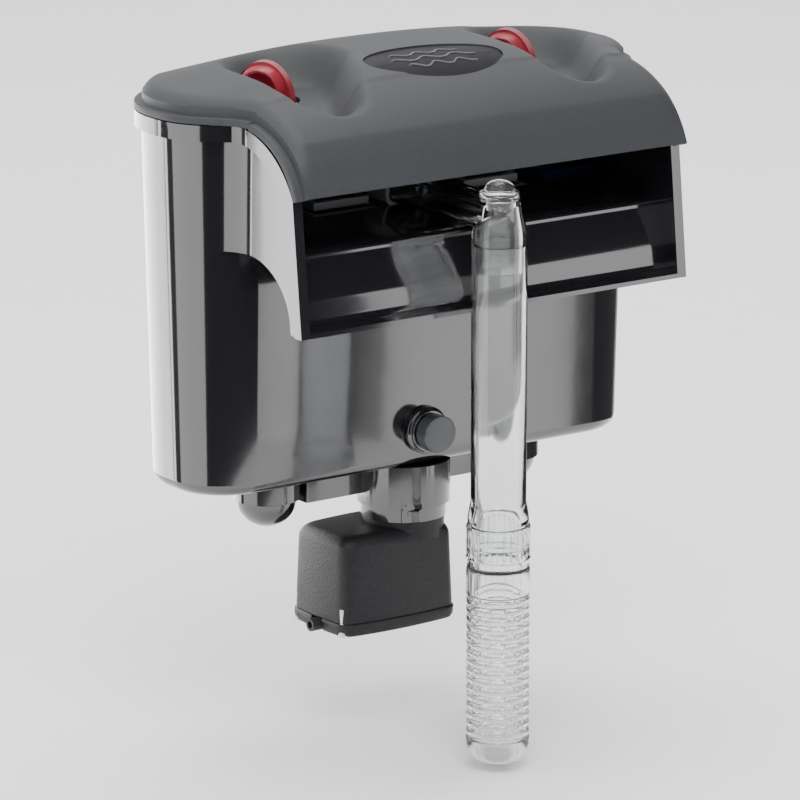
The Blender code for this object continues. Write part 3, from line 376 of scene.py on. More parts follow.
def turned(bm, profile, centre, segments=FINE, axis="Z"):
    """A closed (radius, height) profile turned round an axis through centre."""
    start = len(bm.verts)
    rings = []
    for radius, height in profile:
        if radius < TINY:
            rings.append([bm.verts.new((0.0, 0.0, height))])
            continue
        angles = [2 * pi * i / segments for i in range(segments)]
        rings.append([bm.verts.new((radius * cos(a), radius * sin(a), height)) for a in angles])
    for low, high in zip(rings, rings[1:] + rings[:1]):
        if len(low) == 1 and len(high) == 1:
            continue
        for i in range(segments):
            j = (i + 1) % segments
            corners = [low[i % len(low)], low[j % len(low)], high[j % len(high)], high[i % len(high)]]
            bm.faces.new(list(dict.fromkeys(corners)))
    turn = {
        "X": Matrix.Rotation(radians(90), 4, "Y"),
        "Y": Matrix.Rotation(radians(-90), 4, "X"),
        "Z": Matrix.Identity(4),
    }[axis]
    bm.verts.ensure_lookup_table()
    for vert in bm.verts[start:]:
        vert.co = turn @ vert.co + Vector(centre)


def cut(obj, maker):
    combine(obj, new_object("cutter", maker))


def add(obj, maker):
    combine(obj, new_object("lump", maker), "UNION")


def cut_turned(obj, profile, centre, segments=FINE, axis="Z"):
    cut(obj, lambda bm: turned(bm, profile, centre, segments, axis))


def drill(obj, radius, span, centre, segments=FINE, axis="Z"):
    """Cuts a round hole between two heights along its axis."""
    start, end = span
    cut_turned(obj, [(0, start), (radius, start), (radius, end), (0, end)], centre, segments, axis)


def cut_box(obj, x, y, z):
    cut(obj, lambda bm: box(bm, x, y, z))


def cut_across(obj, profile, half, operation="DIFFERENCE"):
    """Cuts or trims with a (y, z) profile that runs across the object."""
    combine(obj, new_object("cutter", lambda bm: prism_x(bm, profile, -half, half)), operation)


def rounded(profile, radius, steps=4):
    """A closed (radius, height) profile with its corners rounded, except those on the axis."""
    result = []
    count = len(profile)
    for i, corner in enumerate(profile):
        here = Vector(corner)
        before = Vector(profile[i - 1])
        after = Vector(profile[(i + 1) % count])
        if here.x < 1e-6 or (before - here).length < 1e-6 or (after - here).length < TINY:
            result.append(corner)
            continue
        reach = min(radius, (before - here).length * 0.45, (after - here).length * 0.45)
        start = here + (before - here).normalized() * reach
        end = here + (after - here).normalized() * reach
        for k in range(steps + 1):
            t = k / steps
            result.append(tuple(start * (1 - t) ** 2 + here * 2 * t * (1 - t) + end * t ** 2))
    return result


def arc(centre, radius, start, end, steps):
    points = []
    for i in range(steps + 1):
        angle = radians(start + (end - start) * i / steps)
        points.append((centre[0] + radius * cos(angle), centre[1] + radius * sin(angle)))
    return points


def ellipse_arc(centre, radii, start, end, steps):
    points = arc((0.0, 0.0), 1.0, start, end, steps)
    return [(centre[0] + radii[0] * c, centre[1] + radii[1] * s) for c, s in points]


def mirrored(right):
    return right + [(-x, y) for x, y in reversed(right) if x > TINY]


def rounded_box(x, y, radius, steps=8):
    corners = ((x[1] - radius, y[0] + radius, -90), (x[1] - radius, y[1] - radius, 0),
               (x[0] + radius, y[1] - radius, 90), (x[0] + radius, y[0] + radius, 180))
    points = []
    for cx, cy, start in corners:
        points += arc((cx, cy), radius, start, start + 90, steps)
    return points


# ---- case


def bowed(x, y, half, front, back):
    along = min(max((y - front) / (back - front), 0.0), 1.0)
    return y + BACK_BOW * along * along * (1 - (x / half) ** 2)


def body_outline(inset, steps=26):
    half = CASE_HALF_WIDTH - inset
    front = CASE_FRONT + inset
    back = CASE_BACK - inset
    front_r = FRONT_RADIUS - inset
    back_r = BACK_RADIUS - inset
    points = arc((half - front_r, front + front_r), front_r, -90, 0, steps)
    points += arc((half - back_r, back - back_r), back_r, 0, 90, steps)
    points += [((half - back_r) * k / BACK_STEPS, back) for k in range(BACK_STEPS - 1, -1, -1)]
    return mirrored([(x, bowed(x, y, half, front, back)) for x, y in points])


def draft_at(z):
    return (DRAFT_FROM - min(z, DRAFT_FROM)) * DRAFT


def fillet_geometry(inset, proud):
    corner_r = FRONT_RADIUS - inset
    corner = (CASE_HALF_WIDTH - FRONT_RADIUS, CASE_FRONT + FRONT_RADIUS)
    radius = CHEEK_FILLET - proud
    dx = CHEEK_X + proud + radius - corner[0]
    dy = math.sqrt((corner_r + radius) ** 2 - dx * dx)
    return corner, radius, (corner[0] + dx, corner[1] - dy), math.degrees(math.atan2(dy, -dx))


def hook_outline(inset, proud=0.0, front=LIP_FRONT, steps=22):
    _, radius, centre, end = fillet_geometry(inset, proud)
    points = [(CHEEK_X + proud, front)]
    points += arc(centre, radius, 180, end - FILLET_OVERRUN, steps)
    points += [(points[-1][0] - HOOK_RUN_IN[0], points[-1][1] + HOOK_RUN_IN[1])]
    return mirrored(points)


def top_curve(grow, steps=36):
    a = HOOK_TOP_RADII[0] + grow
    b = HOOK_TOP_RADII[1] + grow
    first = math.degrees(math.asin((HOOD_FRONT_Z - HOOK_TOP_CENTRE[1]) / b))
    return ellipse_arc(HOOK_TOP_CENTRE, (a, b), 180 - first, 90, steps)


def case_shell(bm):
    rings = []
    for i in range(BOTTOM_STEPS + 1):
        angle = radians(90 * i / BOTTOM_STEPS)
        z = CASE_BOTTOM + BOTTOM_FILLET * (1 - cos(angle))
        inset = draft_at(z) + BOTTOM_FILLET * (1 - sin(angle))
        rings.append([(x, y, z) for x, y in body_outline(inset)])
    for z in (DRAFT_FROM, RIM_TOP + SPARE_TOP):
        rings.append([(x, y, z) for x, y in body_outline(draft_at(z))])
    loft(bm, rings)


def hook_lump():
    """Hook with its side profile, hollow under the chute."""
    hook = new_object("hook", lambda bm: loft(bm, [
        [(x, y, z) for x, y in hook_outline(draft_at(z))] for z in (LIP_BOTTOM - 1.0, RIM_TOP + 6.0)]))
    low = ellipse_arc(HOOK_LOW_CENTRE, HOOK_LOW_RADII, 180, 90, 30)
    over = RIM_TOP + 3.0
    inside = 60.0
    profile = [(LIP_FRONT, LIP_BOTTOM), (LIP_FRONT + LIP_DEPTH, LIP_BOTTOM)] + low
    profile += [(inside, 0.0), (inside, over), (HOOK_TOP_CENTRE[0], over)] + list(reversed(top_curve(0.0)))
    cut_across(hook, profile, CUT_X, "INTERSECT")
    below = LIP_BOTTOM - 2
    wall = CASE_FRONT - 1.0
    foot, middle, top = HOLLOW_EASE
    hollow = [(CHUTE_MIDDLE[0] + foot, below), (CHUTE_MIDDLE[0] + middle, CHUTE_MIDDLE[1] - 1.0),
              (CHUTE_TOP[0] + top, 0.0), (wall, 0.0), (wall, below)]
    cut_across(hook, hollow, CHEEK_X - CHEEK_WALL)
    return hook


def band_lump():
    """The raised band on the rim that runs on down the cheeks' front edges."""
    band = new_object("band", lambda bm: prism(
        bm, hook_outline(0.0, BAND_PROUD * 0.6, LIP_FRONT - 0.6), LIP_BOTTOM - 2.0, RIM_TOP + 7.0))
    over = RIM_TOP + 4.0
    behind = 120.0
    profile = [(LIP_FRONT - 0.3, LIP_BOTTOM)] + top_curve(0.0) + [(HOOK_TOP_CENTRE[0], over), (behind, over)]
    profile += [(behind, RIM_TOP - BAND_HEIGHT)] + list(reversed(top_curve(-BAND_HEIGHT)))
    profile += [(LIP_FRONT + STRIP_WIDTH, LIP_BOTTOM)]
    cut_across(band, profile, CUT_X, "INTERSECT")
    return band


def chute_profile():
    """The chute's floor in (y, z), a smooth fall from the weir to the lip's ledge."""
    knots = [Vector((LIP_FRONT, LIP_LEDGE - 1.2)), Vector((CHUTE_FOOT_Y, LIP_LEDGE)), Vector(CHUTE_MIDDLE),
             Vector((CHUTE_TOP[0] - 4.2, CHUTE_TOP[1] - 4.6)), Vector(CHUTE_TOP),
             Vector((CASE_FRONT + 1.2, WEIR_TOP))]
    smooth = [tuple(knots[0]), tuple(knots[1])]
    for i in range(1, len(knots) - 2):
        p0, p1, p2, p3 = knots[i - 1], knots[i], knots[i + 1], knots[i + 2]
        for k in range(1, CHUTE_STEPS + 1):
            t = k / CHUTE_STEPS
            smooth.append(tuple(0.5 * (
                2 * p1 + (p2 - p0) * t + (2 * p0 - 5 * p1 + 4 * p2 - p3) * t * t
                + (3 * p1 - p0 - 3 * p2 + p3) * t ** 3)))
    smooth.append(tuple(knots[-1]))
    return smooth


def build_case(finish):
    case = new_object("case_shell", case_shell, finish)
    combine(case, hook_lump(), "UNION")
    combine(case, band_lump(), "UNION")
    add(case, lambda bm: prism(bm, body_outline(-BAND_PROUD), DRAFT_FROM, RIM_TOP + 5.0))
    cut_box(case, *TOP_CUT)
    cut(case, lambda bm: loft(bm, [
        [(x, y, z) for x, y in body_outline(draft_at(z) + WALL)]
        for z in (CASE_BOTTOM + WALL, DRAFT_FROM, RIM_TOP + 9)]))
    front, back, above = LIP_FRONT - 12, CASE_FRONT + 8, RIM_TOP + 12
    trough = [(front, LIP_LEDGE - 1.2)] + chute_profile() + [(back, WEIR_TOP), (back, above), (front, above)]
    cut_across(case, trough, CHEEK_X - CHEEK_WALL)
    foot = node_centre("levelling_ring")
    drill(case, *FOOT_HOLE, (foot.x, CASE_FRONT - 2, foot.z), COARSE, "Y")
    for side in SIDES:
        stem = node_centre(f"{side}_valve_stem")
        drill(case, *STEM_HOLE, (stem.x, stem.y, 0), COARSE)
    soften(case, CASE_EDGE)
    apply_modifiers(case)
    even_shading(case)
    return case


# ---- lid


def lid_rows():
    """Right half of the lid's side wall: x, y, edge height and the in-pointing (y, z) of the wall."""
    rows = []
    grow = FLANGE_HEIGHT + SIDE_HEIGHT + SEAT_GAP
    a = HOOK_TOP_RADII[0] + grow
    b = HOOK_TOP_RADII[1] + grow
    first = math.asin((HOOD_FRONT_Z - HOOK_TOP_CENTRE[1]) / b)
    inset = SIDE_INSET
    _, radius, centre, end = fillet_geometry(0.0, -inset)
    for i in range(LID_STEPS + 1):
        angle = first + (pi / 2 - first) * i / LID_STEPS
        y = HOOK_TOP_CENTRE[0] - a * cos(angle) ** (2 / HOOD_POWER)
        z = HOOK_TOP_CENTRE[1] + b * sin(angle) ** (2 / HOOD_POWER)
        if y < centre[1] - 0.3:
            rows.append((CHEEK_X - inset, y, z, (cos(angle), -sin(angle))))
    top = HOOK_TOP_CENTRE[1] + b
    for x, y in arc(centre, radius, 180, end, 16):
        rows.append((x, y, top, (0.0, -1.0)))
    corner = (CASE_HALF_WIDTH - FRONT_RADIUS, CASE_FRONT + FRONT_RADIUS)
    for x, y in arc(corner, FRONT_RADIUS - inset, end - 180.0, 0, 14)[1:]:
        rows.append((x, y, top, (0.0, -1.0)))
    back = (CASE_HALF_WIDTH - BACK_RADIUS, CASE_BACK - BACK_RADIUS)
    for x, y in arc(back, BACK_RADIUS - inset, 0, 90, 34):
        rows.append((x, y, top, (0.0, -1.0)))
    return rows


def well_drop(x, y):
    """How far a finger well lowers the lid at a point, with a steep wall and a level floor."""
    drop = 0.0
    for shift in (0.0, WELL_PITCH):
        ax, ay, ar = WELL_BACK
        bx, by, br = WELL_FRONT
        dx, dy = bx - ax, by - ay
        along = ((x - shift - ax) * dx + (y - ay) * dy) / (dx * dx + dy * dy)
        along = min(max(along, 0.0), 1.0)
        near = math.hypot(x - shift - ax - dx * along, y - ay - dy * along)
        inside = min(max((ar + (br - ar) * along - near) / WELL_RAMP, 0.0), 1.0)
        drop += WELL_DEPTH * inside * inside * (3 - 2 * inside)
    return drop


def lid_point(row, s):
    """A point of the lid's top, s of the way from its middle to the row's side."""
    half, y, edge, inward = row
    inner_half = CASE_HALF_WIDTH - SIDE_INSET
    x = s * half
    y_bowed = bowed(x, y, inner_half, CASE_FRONT, CASE_BACK)
    back = CASE_BACK - SIDE_INSET + BACK_BOW * (1 - (x / inner_half) ** 2)
    fade = min(max((y - LIP_FRONT) / FADE_LENGTH, 0.0), 1.0)
    level = 1 - min(max(back - y_bowed, 0.0) / CROWN_REACH, 1.0)
    crown = CROWN * sin(fade * pi / 2) ** 2 * (1 - abs(s) ** CROWN_POWER) * (1 - level * level)
    near = min((1 - abs(s)) * half, max(back - y_bowed, 0.0), EDGE_ROUND)
    away = 1 - near / EDGE_ROUND
    lift = EDGE_RISE * (1 - away * away) * min(fade * 6.0, 1.0)
    drop = well_drop(x, y_bowed)
    return Vector((x, y_bowed - inward[0] * lift, edge - inward[1] * lift + crown - drop))


def lid_columns():
    """Fractions across the lid, closer together near its sides."""
    columns = []
    for i in range(LID_COLUMNS + 1):
        t = 2 * i / LID_COLUMNS - 1
        columns.append(math.copysign(1 - (1 - abs(t)) ** EDGE_CROWDING, t))
    return columns


def lid_shell(bm):
    rows = lid_rows()
    columns = lid_columns()
    top = [[lid_point(row, s) for s in columns] for row in rows]
    last_row = len(top) - 1
    last_col = len(columns) - 1

    def normal(j, i):
        across = top[j][min(i + 1, last_col)] - top[j][max(i - 1, 0)]
        along = top[min(j + 1, last_row)][i] - top[max(j - 1, 0)][i]
        return across.cross(along).normalized()

    upper = [[bm.verts.new(point) for point in line] for line in top]
    path = [(j, 0) for j in range(last_row + 1)]
    path += [(last_row, i) for i in range(1, last_col)]
    path += [(j, last_col) for j in range(last_row, -1, -1)]
    on_path = set(path)
    lower = {}
    for j, line in enumerate(top):
        for i, point in enumerate(line):
            if (j, i) not in on_path:
                lower[j, i] = bm.verts.new(point - normal(j, i) * LID_WALL)
    plan = [Vector((top[j][i].x, top[j][i].y, 0)) for j, i in path]
    outward = []
    for k, (j, i) in enumerate(path):
        run = plan[min(k + 1, len(plan) - 1)] - plan[max(k - 1, 0)]
        if rows[j][3][0] > TINY:
            outward.append(Vector((-1.0 if i == 0 else 1.0, 0, 0)))
        else:
            outward.append(Vector((-run.y, run.x, 0)).normalized())
    strips = [[upper[j][i] for j, i in path]]
    step_r = FLANGE_ROUND
    steps = (
        (SIDE_HEIGHT - step_r, 0.0),
        (SIDE_HEIGHT - step_r * 0.3, step_r * 0.3),
        (SIDE_HEIGHT, step_r),
        (SIDE_HEIGHT, FLANGE_OUT - step_r),
        (SIDE_HEIGHT + step_r * 0.3, FLANGE_OUT - step_r * 0.3),
        (SIDE_HEIGHT + step_r, FLANGE_OUT),
        (SIDE_HEIGHT + FLANGE_HEIGHT - FLANGE_BEVEL, FLANGE_OUT),
        (SIDE_HEIGHT + FLANGE_HEIGHT, FLANGE_OUT - FLANGE_BEVEL),
        (SIDE_HEIGHT + FLANGE_HEIGHT, -LID_WALL),
        (SIDE_HEIGHT - 1.0, -LID_WALL),
    )
    for down, out in steps:
        ring = []
        for k, (j, i) in enumerate(path):
            inward = rows[j][3]
            place = top[j][i] + Vector((0, inward[0] * down, inward[1] * down)) + outward[k] * out
            ring.append(bm.verts.new(place))
        strips.append(ring)
    for first, second in zip(strips, strips[1:]):
        for k in range(len(path) - 1):
            bm.faces.new((first[k], first[k + 1], second[k + 1], second[k]))
    lower.update(zip(path, strips[-1]))
    for j in range(last_row):
        for i in range(last_col):
            bm.faces.new((upper[j][i], upper[j][i + 1], upper[j + 1][i + 1], upper[j + 1][i]))
            bm.faces.new((lower[j, i], lower[j + 1, i], lower[j + 1, i + 1], lower[j, i + 1]))
    for i in range(last_col):
        bm.faces.new((upper[0][i], lower[0, i], lower[0, i + 1], upper[0][i + 1]))
    for end in (0, len(path) - 1):
        bm.faces.new([strip[end] for strip in strips])


def lid_height(x, y):
    """Height of the lid's outer surface near its middle, where rows stand level."""
    a = HOOK_TOP_RADII[0] + FLANGE_HEIGHT + SIDE_HEIGHT + SEAT_GAP
    top = HOOK_TOP_CENTRE[1] + HOOK_TOP_RADII[1] + FLANGE_HEIGHT + SIDE_HEIGHT + SEAT_GAP
    row = (CASE_HALF_WIDTH, y, top, (0.0, -1.0))
    if y < HOOK_TOP_CENTRE[0]:
        b = top - HOOK_TOP_CENTRE[1]
        c = min((HOOK_TOP_CENTRE[0] - y) / a, 1.0) ** HOOD_POWER
        row = (CHEEK_X - SIDE_INSET, y, HOOK_TOP_CENTRE[1] + b * (1 - c) ** (1 / HOOD_POWER), (0.0, -1.0))
    return lid_point(row, x / row[0]).z


def badge_mesh(bm, grow, span, rings=14, segments=120):
    """A plate that follows the crown, between two depths below it."""
    centre, radii = badge_place()
    surfaces = []
    for depth in reversed(span):
        middle = bm.verts.new((centre[0], centre[1], lid_height(*centre) + depth))
        lines = [[middle]]
        for r in range(1, rings + 1):
            line = []
            for k in range(segments):
                angle = 2 * pi * k / segments
                x = centre[0] + (radii[0] + grow) * r / rings * cos(angle)
                y = centre[1] + (radii[1] + grow) * r / rings * sin(angle)
                line.append(bm.verts.new((x, y, lid_height(x, y) + depth)))
            lines.append(line)
        for k in range(segments):
            bm.faces.new((middle, lines[1][k], lines[1][(k + 1) % segments]))
            for r in range(1, rings):
                a, b = lines[r], lines[r + 1]
                bm.faces.new((a[k], b[k], b[(k + 1) % segments], a[(k + 1) % segments]))
        surfaces.append(lines[-1])
    for k in range(segments):
        j = (k + 1) % segments
        bm.faces.new((surfaces[0][k], surfaces[1][k], surfaces[1][j], surfaces[0][j]))


def badge_place():
    low, high = node_box("badge_plate")
    return ((low.x + high.x) / 2, (low.y + high.y) / 2), ((high.x - low.x) / 2, (high.y - low.y) / 2)


def build_lid(finish):
    lid = new_object("lid_shell", lid_shell, finish, MOULD_SHARP)
    for side in SIDES:
        centre = node_centre(f"{side}_flow_knob")
        drill(lid, KNOB_HOLE_R, KNOB_HOLE_SPAN, (centre.x, centre.y, 0))
    cut(lid, lambda bm: badge_mesh(bm, BADGE_GAP, BADGE_RECESS))
    apply_modifiers(lid)
    return lid


def wave_ridge(bm, length, row):
    """One raised wave line on the badge: a generic water motif."""
    centre, _ = badge_place()
    rings = []
    for i in range(WAVE_STEPS + 1):
        t = i / WAVE_STEPS
        x = centre[0] - length / 2 + length * t
        y = centre[1] + row + WAVE_HEIGHT * sin(t * 6 * pi)
        size = max(min(t, 1 - t, WAVE_TAPER) / WAVE_TAPER, WAVE_THINNEST)
        rings.append([(x, y + dy * size, lid_height(x, y + dy) + WAVE_BASE + dz * size)
                      for dy, dz in WAVE_SECTION])
    loft(bm, rings)


def build_badge(plate_finish, wave_finish):
    yield new_object("badge_inlay", lambda bm: badge_mesh(bm, 0.0, BADGE_SPAN), plate_finish)
    for number, (row, length) in enumerate(WAVES, 1):
        name = f"badge_wave_{number}"
        yield new_object(name, lambda bm: wave_ridge(bm, length, row), wave_finish, WAVE_SHARP)


# ---- knobs


def fin_profile(bottom, top, half_width):
    """Half an ellipse on a short straight foot, in (x, z)."""
    height = top - bottom
    angles = [pi * k / FIN_STEPS for k in range(FIN_STEPS + 1)]
    curve = [(half_width * cos(a), bottom + height * sin(a)) for a in angles]
    return [(half_width, bottom - 1.0)] + curve + [(-half_width, bottom - 1.0)]


def dish_profile(sign):
    radius = BOSS_R - DISH_RIM
    profile = [(0.0, sign * (BOSS_HALF - DISH_DEPTH))]
    for k in range(1, DISH_STEPS + 1):
        t = k / DISH_STEPS
        profile.append((radius * t, sign * (BOSS_HALF - DISH_DEPTH * (1 - t * t))))
    return profile + [(radius, sign * (BOSS_HALF + DISH_CLEAR)), (0.0, sign * (BOSS_HALF + DISH_CLEAR))]


def build_knob(side, finish):
    low, high = node_box(f"{side}_flow_knob")
    centre = (low + high) / 2
    radius = (high.x - low.x) / 2
    disc_top = low.z + KNOB_BASE
    disc = rounded([(0, low.z), (radius, low.z), (radius, disc_top), (0, disc_top)], KNOB_EDGE)
    knob = new_object(f"{side}_knob", lambda bm: turned(bm, disc, (0, 0, 0)), finish)
    fin = fin_profile(disc_top, high.z - 0.3, radius - FIN_INSET)
    add(knob, lambda bm: loft(bm, [[(x, y, z) for x, z in fin] for y in (-FIN_HALF, FIN_HALF)]))
    middle = (0, 0, disc_top + BOSS_R - BOSS_SINK)
    flare_r = BOSS_R + BOSS_FLARE
    right = [(flare_r, BOSS_FLARE_HALF), (BOSS_R, BOSS_HALF - 0.5), (BOSS_R - 0.5, BOSS_HALF), (0, BOSS_HALF)]
    boss = [(r, -h) for r, h in reversed(right)] + right
    add(knob, lambda bm: turned(bm, boss, middle, BOSS_SIDES, "Y"))
    for sign in (-1, 1):
        cut_turned(knob, dish_profile(sign), middle, BOSS_SIDES, "Y")
    start = -radius * POINTER_AT
    width, half, depth = POINTER_SIZE
    cut_box(knob, (start, start + width), (-half, half), (high.z - depth, high.z + 2))
    soften(knob, MOULD_EDGE, 3)
    apply_modifiers(knob)
    place = Matrix.Translation(Vector((centre.x, centre.y, 0)) * MM)
    knob.data.transform(place @ Matrix.Rotation(radians(-KNOB_AZIMUTH[side]), 4, "Z"))
    return knob


# ---- turned pieces under the case


def dome(radius, start, height, angles=DOME_ANGLES):
    """Points of a dome's (radius, height) curve; a negative height hangs down."""
    return [(radius * cos(radians(a)), start + height * sin(radians(a))) for a in angles]


def build_cup(side, finish):
    low, high = node_box(f"{side}_valve_cup")
    centre = ((low.x + high.x) / 2, (low.y + high.y) / 2, 0)
    radius = (high.x - low.x) / 2
    dome_r = radius - CUP_DOME_INSET
    step_z = low.z + CUP_STEP
    dome_z = step_z - CUP_STEP_DROP
    floor_z = low.z + CUP_FLOOR
    profile = [(dome_r - CUP_WALL, high.z), (radius, high.z), (radius, step_z), (dome_r, dome_z)]
    profile += dome(dome_r, dome_z, low.z - dome_z) + [(0.0, floor_z), (dome_r - CUP_WALL, floor_z)]
    return new_object(f"{side}_cup", lambda bm: turned(bm, profile, centre), finish, TURNED_SHARP)


def build_manifold(finish):
    low, high = node_box("flow_manifold")
    centre = ((low.x + high.x) / 2, node_centre("magnet_rotor").y, 0)
    collar_r = centre[1] - low.y
    valve = node_centre("left_valve_cup")
    outline = rounded_box((low.x, high.x), (valve.y - BAR_HALF, valve.y + BAR_HALF), BAR_CORNER)
    bar = new_object("manifold", lambda bm: prism(bm, outline, high.z - BAR_BOTTOM, high.z - BAR_TOP), finish)
    step_low, step_high = COLLAR_STEP
    collar = [(0, low.z), (collar_r - COLLAR_LIP, low.z), (collar_r - COLLAR_LIP, low.z + step_low),
              (collar_r, low.z + step_high), (collar_r, high.z), (0, high.z)]
    add(bar, lambda bm: turned(bm, collar, centre, FINEST))
    drill(bar, COLLAR_BORE[0], (low.z - 5, COLLAR_BORE[1]), centre)
    for x, y, z in (COLLAR_NOTCH, COLLAR_SLOT):
        cut_box(bar, x, y, (low.z + z[0], low.z + z[1]))
    soften(bar, MOULD_EDGE)
    apply_modifiers(bar)
    return bar


def motor_outline(z, grow, squeeze=1.0):
    """The motor's section at a height: a rounded box with bowed sides and the same points at every height."""
    low, high = node_box("motor_housing")
    x = (low.x + MOTOR_MARGIN[0] - grow, high.x - MOTOR_MARGIN[0] + grow)
    y = (low.y + MOTOR_MARGIN[1] - grow, high.y - MOTOR_MARGIN[1] + grow)
    mid = ((x[0] + x[1]) / 2, (y[0] + y[1]) / 2)
    ring = rounded_box(x, y, MOTOR_CORNER, MOTOR_CORNER_STEPS)
    dense = []
    for i, (px, py) in enumerate(ring):
        qx, qy = ring[(i + 1) % len(ring)]
        on_side = i % (MOTOR_CORNER_STEPS + 1) == MOTOR_CORNER_STEPS
        pieces = MOTOR_SIDE_STEPS if on_side else 1
        dense += [(px + (qx - px) * k / pieces, py + (qy - py) * k / pieces) for k in range(pieces)]
    result = []
    for px, py in dense:
        along = (py - mid[1]) / (y[1] - mid[1])
        across = (px - mid[0]) / (x[1] - mid[0])
        px += MOTOR_BULGE[0] * max(1 - along * along, 0.0) * across ** 3
        py += MOTOR_BULGE[1] * max(1 - across * across, 0.0) * along ** 3
        result.append((mid[0] + (px - mid[0]) * squeeze, mid[1] + (py - mid[1]) * squeeze, z))
    return result


def build_motor(finish):
    low, high = node_box("motor_housing")
    rotor = node_centre("magnet_rotor")
    centre = (rotor.x, rotor.y, 0)
    shoulder = node_box("flow_manifold")[0].z - 2.0
    side_top = shoulder - SHOULDER_DROP
    rings = [motor_outline(low.z, 0.9), motor_outline(low.z + 13, 0.5), motor_outline(side_top, 0.0)]
    for k in range(1, SHOULDER_STEPS + 1):
        angle = radians(90 * k / SHOULDER_STEPS)
        sink = SHOULDER_IN * (1 - cos(angle))
        rings.append(motor_outline(side_top + SHOULDER_RISE * sin(angle), -sink, 1 - 0.002 * k))
    rings.append(motor_outline(shoulder - 0.1, -9.0, 0.9))
    motor = new_object("motor_shell", lambda bm: loft(bm, rings), finish)
    wide, narrow = NECK_R
    step_z = shoulder + NECK_TOP
    neck = [(0, side_top), (wide, side_top), (wide, step_z), (narrow, step_z), (narrow, high.z), (0, high.z)]
    add(motor, lambda bm: turned(bm, neck, centre))
    cut_turned(motor, WELL_PROFILE, centre)
    cut_box(motor, *COIL_BAY)
    cut_box(motor, *ROTOR_BAY)
    return finish_mould(motor)


def finish_mould(piece):
    soften(piece, MOTOR_EDGE)
    apply_modifiers(piece)
    return piece


def build_base_plate(finish):
    low, high = node_box("motor_base_plate")
    levels = ((high.z, 1.1), (high.z - 0.5, 1.4), (low.z + 2.0, 1.2), (low.z + 0.6, 0.6), (low.z, -0.6))
    plate = new_object("base_plate", lambda bm: loft(bm, [motor_outline(*level) for level in levels]), finish)
    cut_box(plate, *CABLE_NOTCH)
    for number in range(1, SCREW_COUNT + 1):
        screw = node_centre(f"base_screw_{number}")
        drill(plate, *SCREW_HEAD_HOLE, (screw.x, screw.y, 0), COARSE)
        radius, span, sides = SCREW_HOLE
        drill(plate, radius, span, (screw.x, screw.y, 0), sides)
    return finish_mould(plate)


def build_screw(number, finish):
    """A base screw with a small domed head and a crossed recess."""
    low, high = node_box(f"base_screw_{number}")
    x, y, _ = node_centre(f"base_screw_{number}")
    tip_r = SCREW_HEAD[-1][0]
    profile = [(0, low.z)] + [(r, low.z + h) for r, h in SCREW_HEAD]
    profile += [(tip_r, high.z - SCREW_TIP), (0, high.z)]
    screw = new_object(f"screw_{number}", lambda bm: turned(bm, profile, (x, y, 0), COARSE), finish)
    depth = (low.z - 1, low.z + SCREW_CROSS_DEPTH)
    for across, along in SCREW_CROSS:
        cut_box(screw, (x - across, x + across), (y - along, y + along), depth)
    return screw


# ---- intake


def tube_place():
    centre = node_centre("intake_tube")
    return centre.x, centre.y, 0


def build_tube(finish):
    low, high = node_box("intake_tube")
    flare_r = (high.x - low.x) / 2
    start, curve, widest, end, neck = TUBE_FLARE_Z
    bore, wide_bore = TUBE_BORE_R
    outer = [(TUBE_R, high.z), (TUBE_R, start), (TUBE_R + 0.5, curve), (flare_r, widest), (flare_r, end),
             (TUBE_NECK_R, neck), (TUBE_NECK_R, low.z), (bore, low.z), (bore, TUBE_TAPER_Z[0]),
             (wide_bore, TUBE_TAPER_Z[1]), (wide_bore, high.z)]
    return new_object("tube", lambda bm: turned(bm, outer, tube_place(), FINEST), finish, TURNED_SHARP)


def build_collar(finish):
    """The collar that joins the strainer: ribs round its side, then a plain bead. The ribs come first."""
    low, high = node_box("strainer_collar")
    centre = tube_place()
    outer_r = (high.x - low.x) / 2
    rim_r, side_r = outer_r - 0.05, outer_r - 0.35
    mouth_r, bore_r, bead_r = COLLAR_R
    cut_low, cut_high = COLLAR_CUT_Z
    profile = [(mouth_r, high.z), (outer_r - 0.3, high.z), (rim_r, high.z - 0.6), (side_r, high.z - 1.6),
               (side_r, high.z - 12.4), (rim_r, high.z - 12.9), (bead_r, high.z - 13.8), (bead_r, low.z),
               (bore_r, low.z), (bore_r, cut_low), (mouth_r, cut_high)]
    collar = new_object("collar_ring", lambda bm: turned(bm, profile, centre, FINEST), finish)
    deep, shallow = COLLAR_RIB_SPAN
    for k in range(COLLAR_RIBS):
        rib = new_object(f"collar_rib_{k}", lambda bm: box(
            bm, (-0.35, 0.35), (COLLAR_RIB_INNER, outer_r - 0.08), (high.z - deep, high.z - shallow)), finish)
        turn = Matrix.Rotation(2 * pi * k / COLLAR_RIBS, 4, "Z")
        rib.data.transform(Matrix.Translation(Vector(centre) * MM) @ turn)
        yield rib
    yield collar


def ring_wedge(bm, centre, inner, outer, low, high, start, end, steps=8):
    outline = arc((0, 0), outer, start, end, steps) + arc((0, 0), inner, end, start, steps)
    prism(bm, [(centre[0] + x, centre[1] + y) for x, y in outline], low, high)


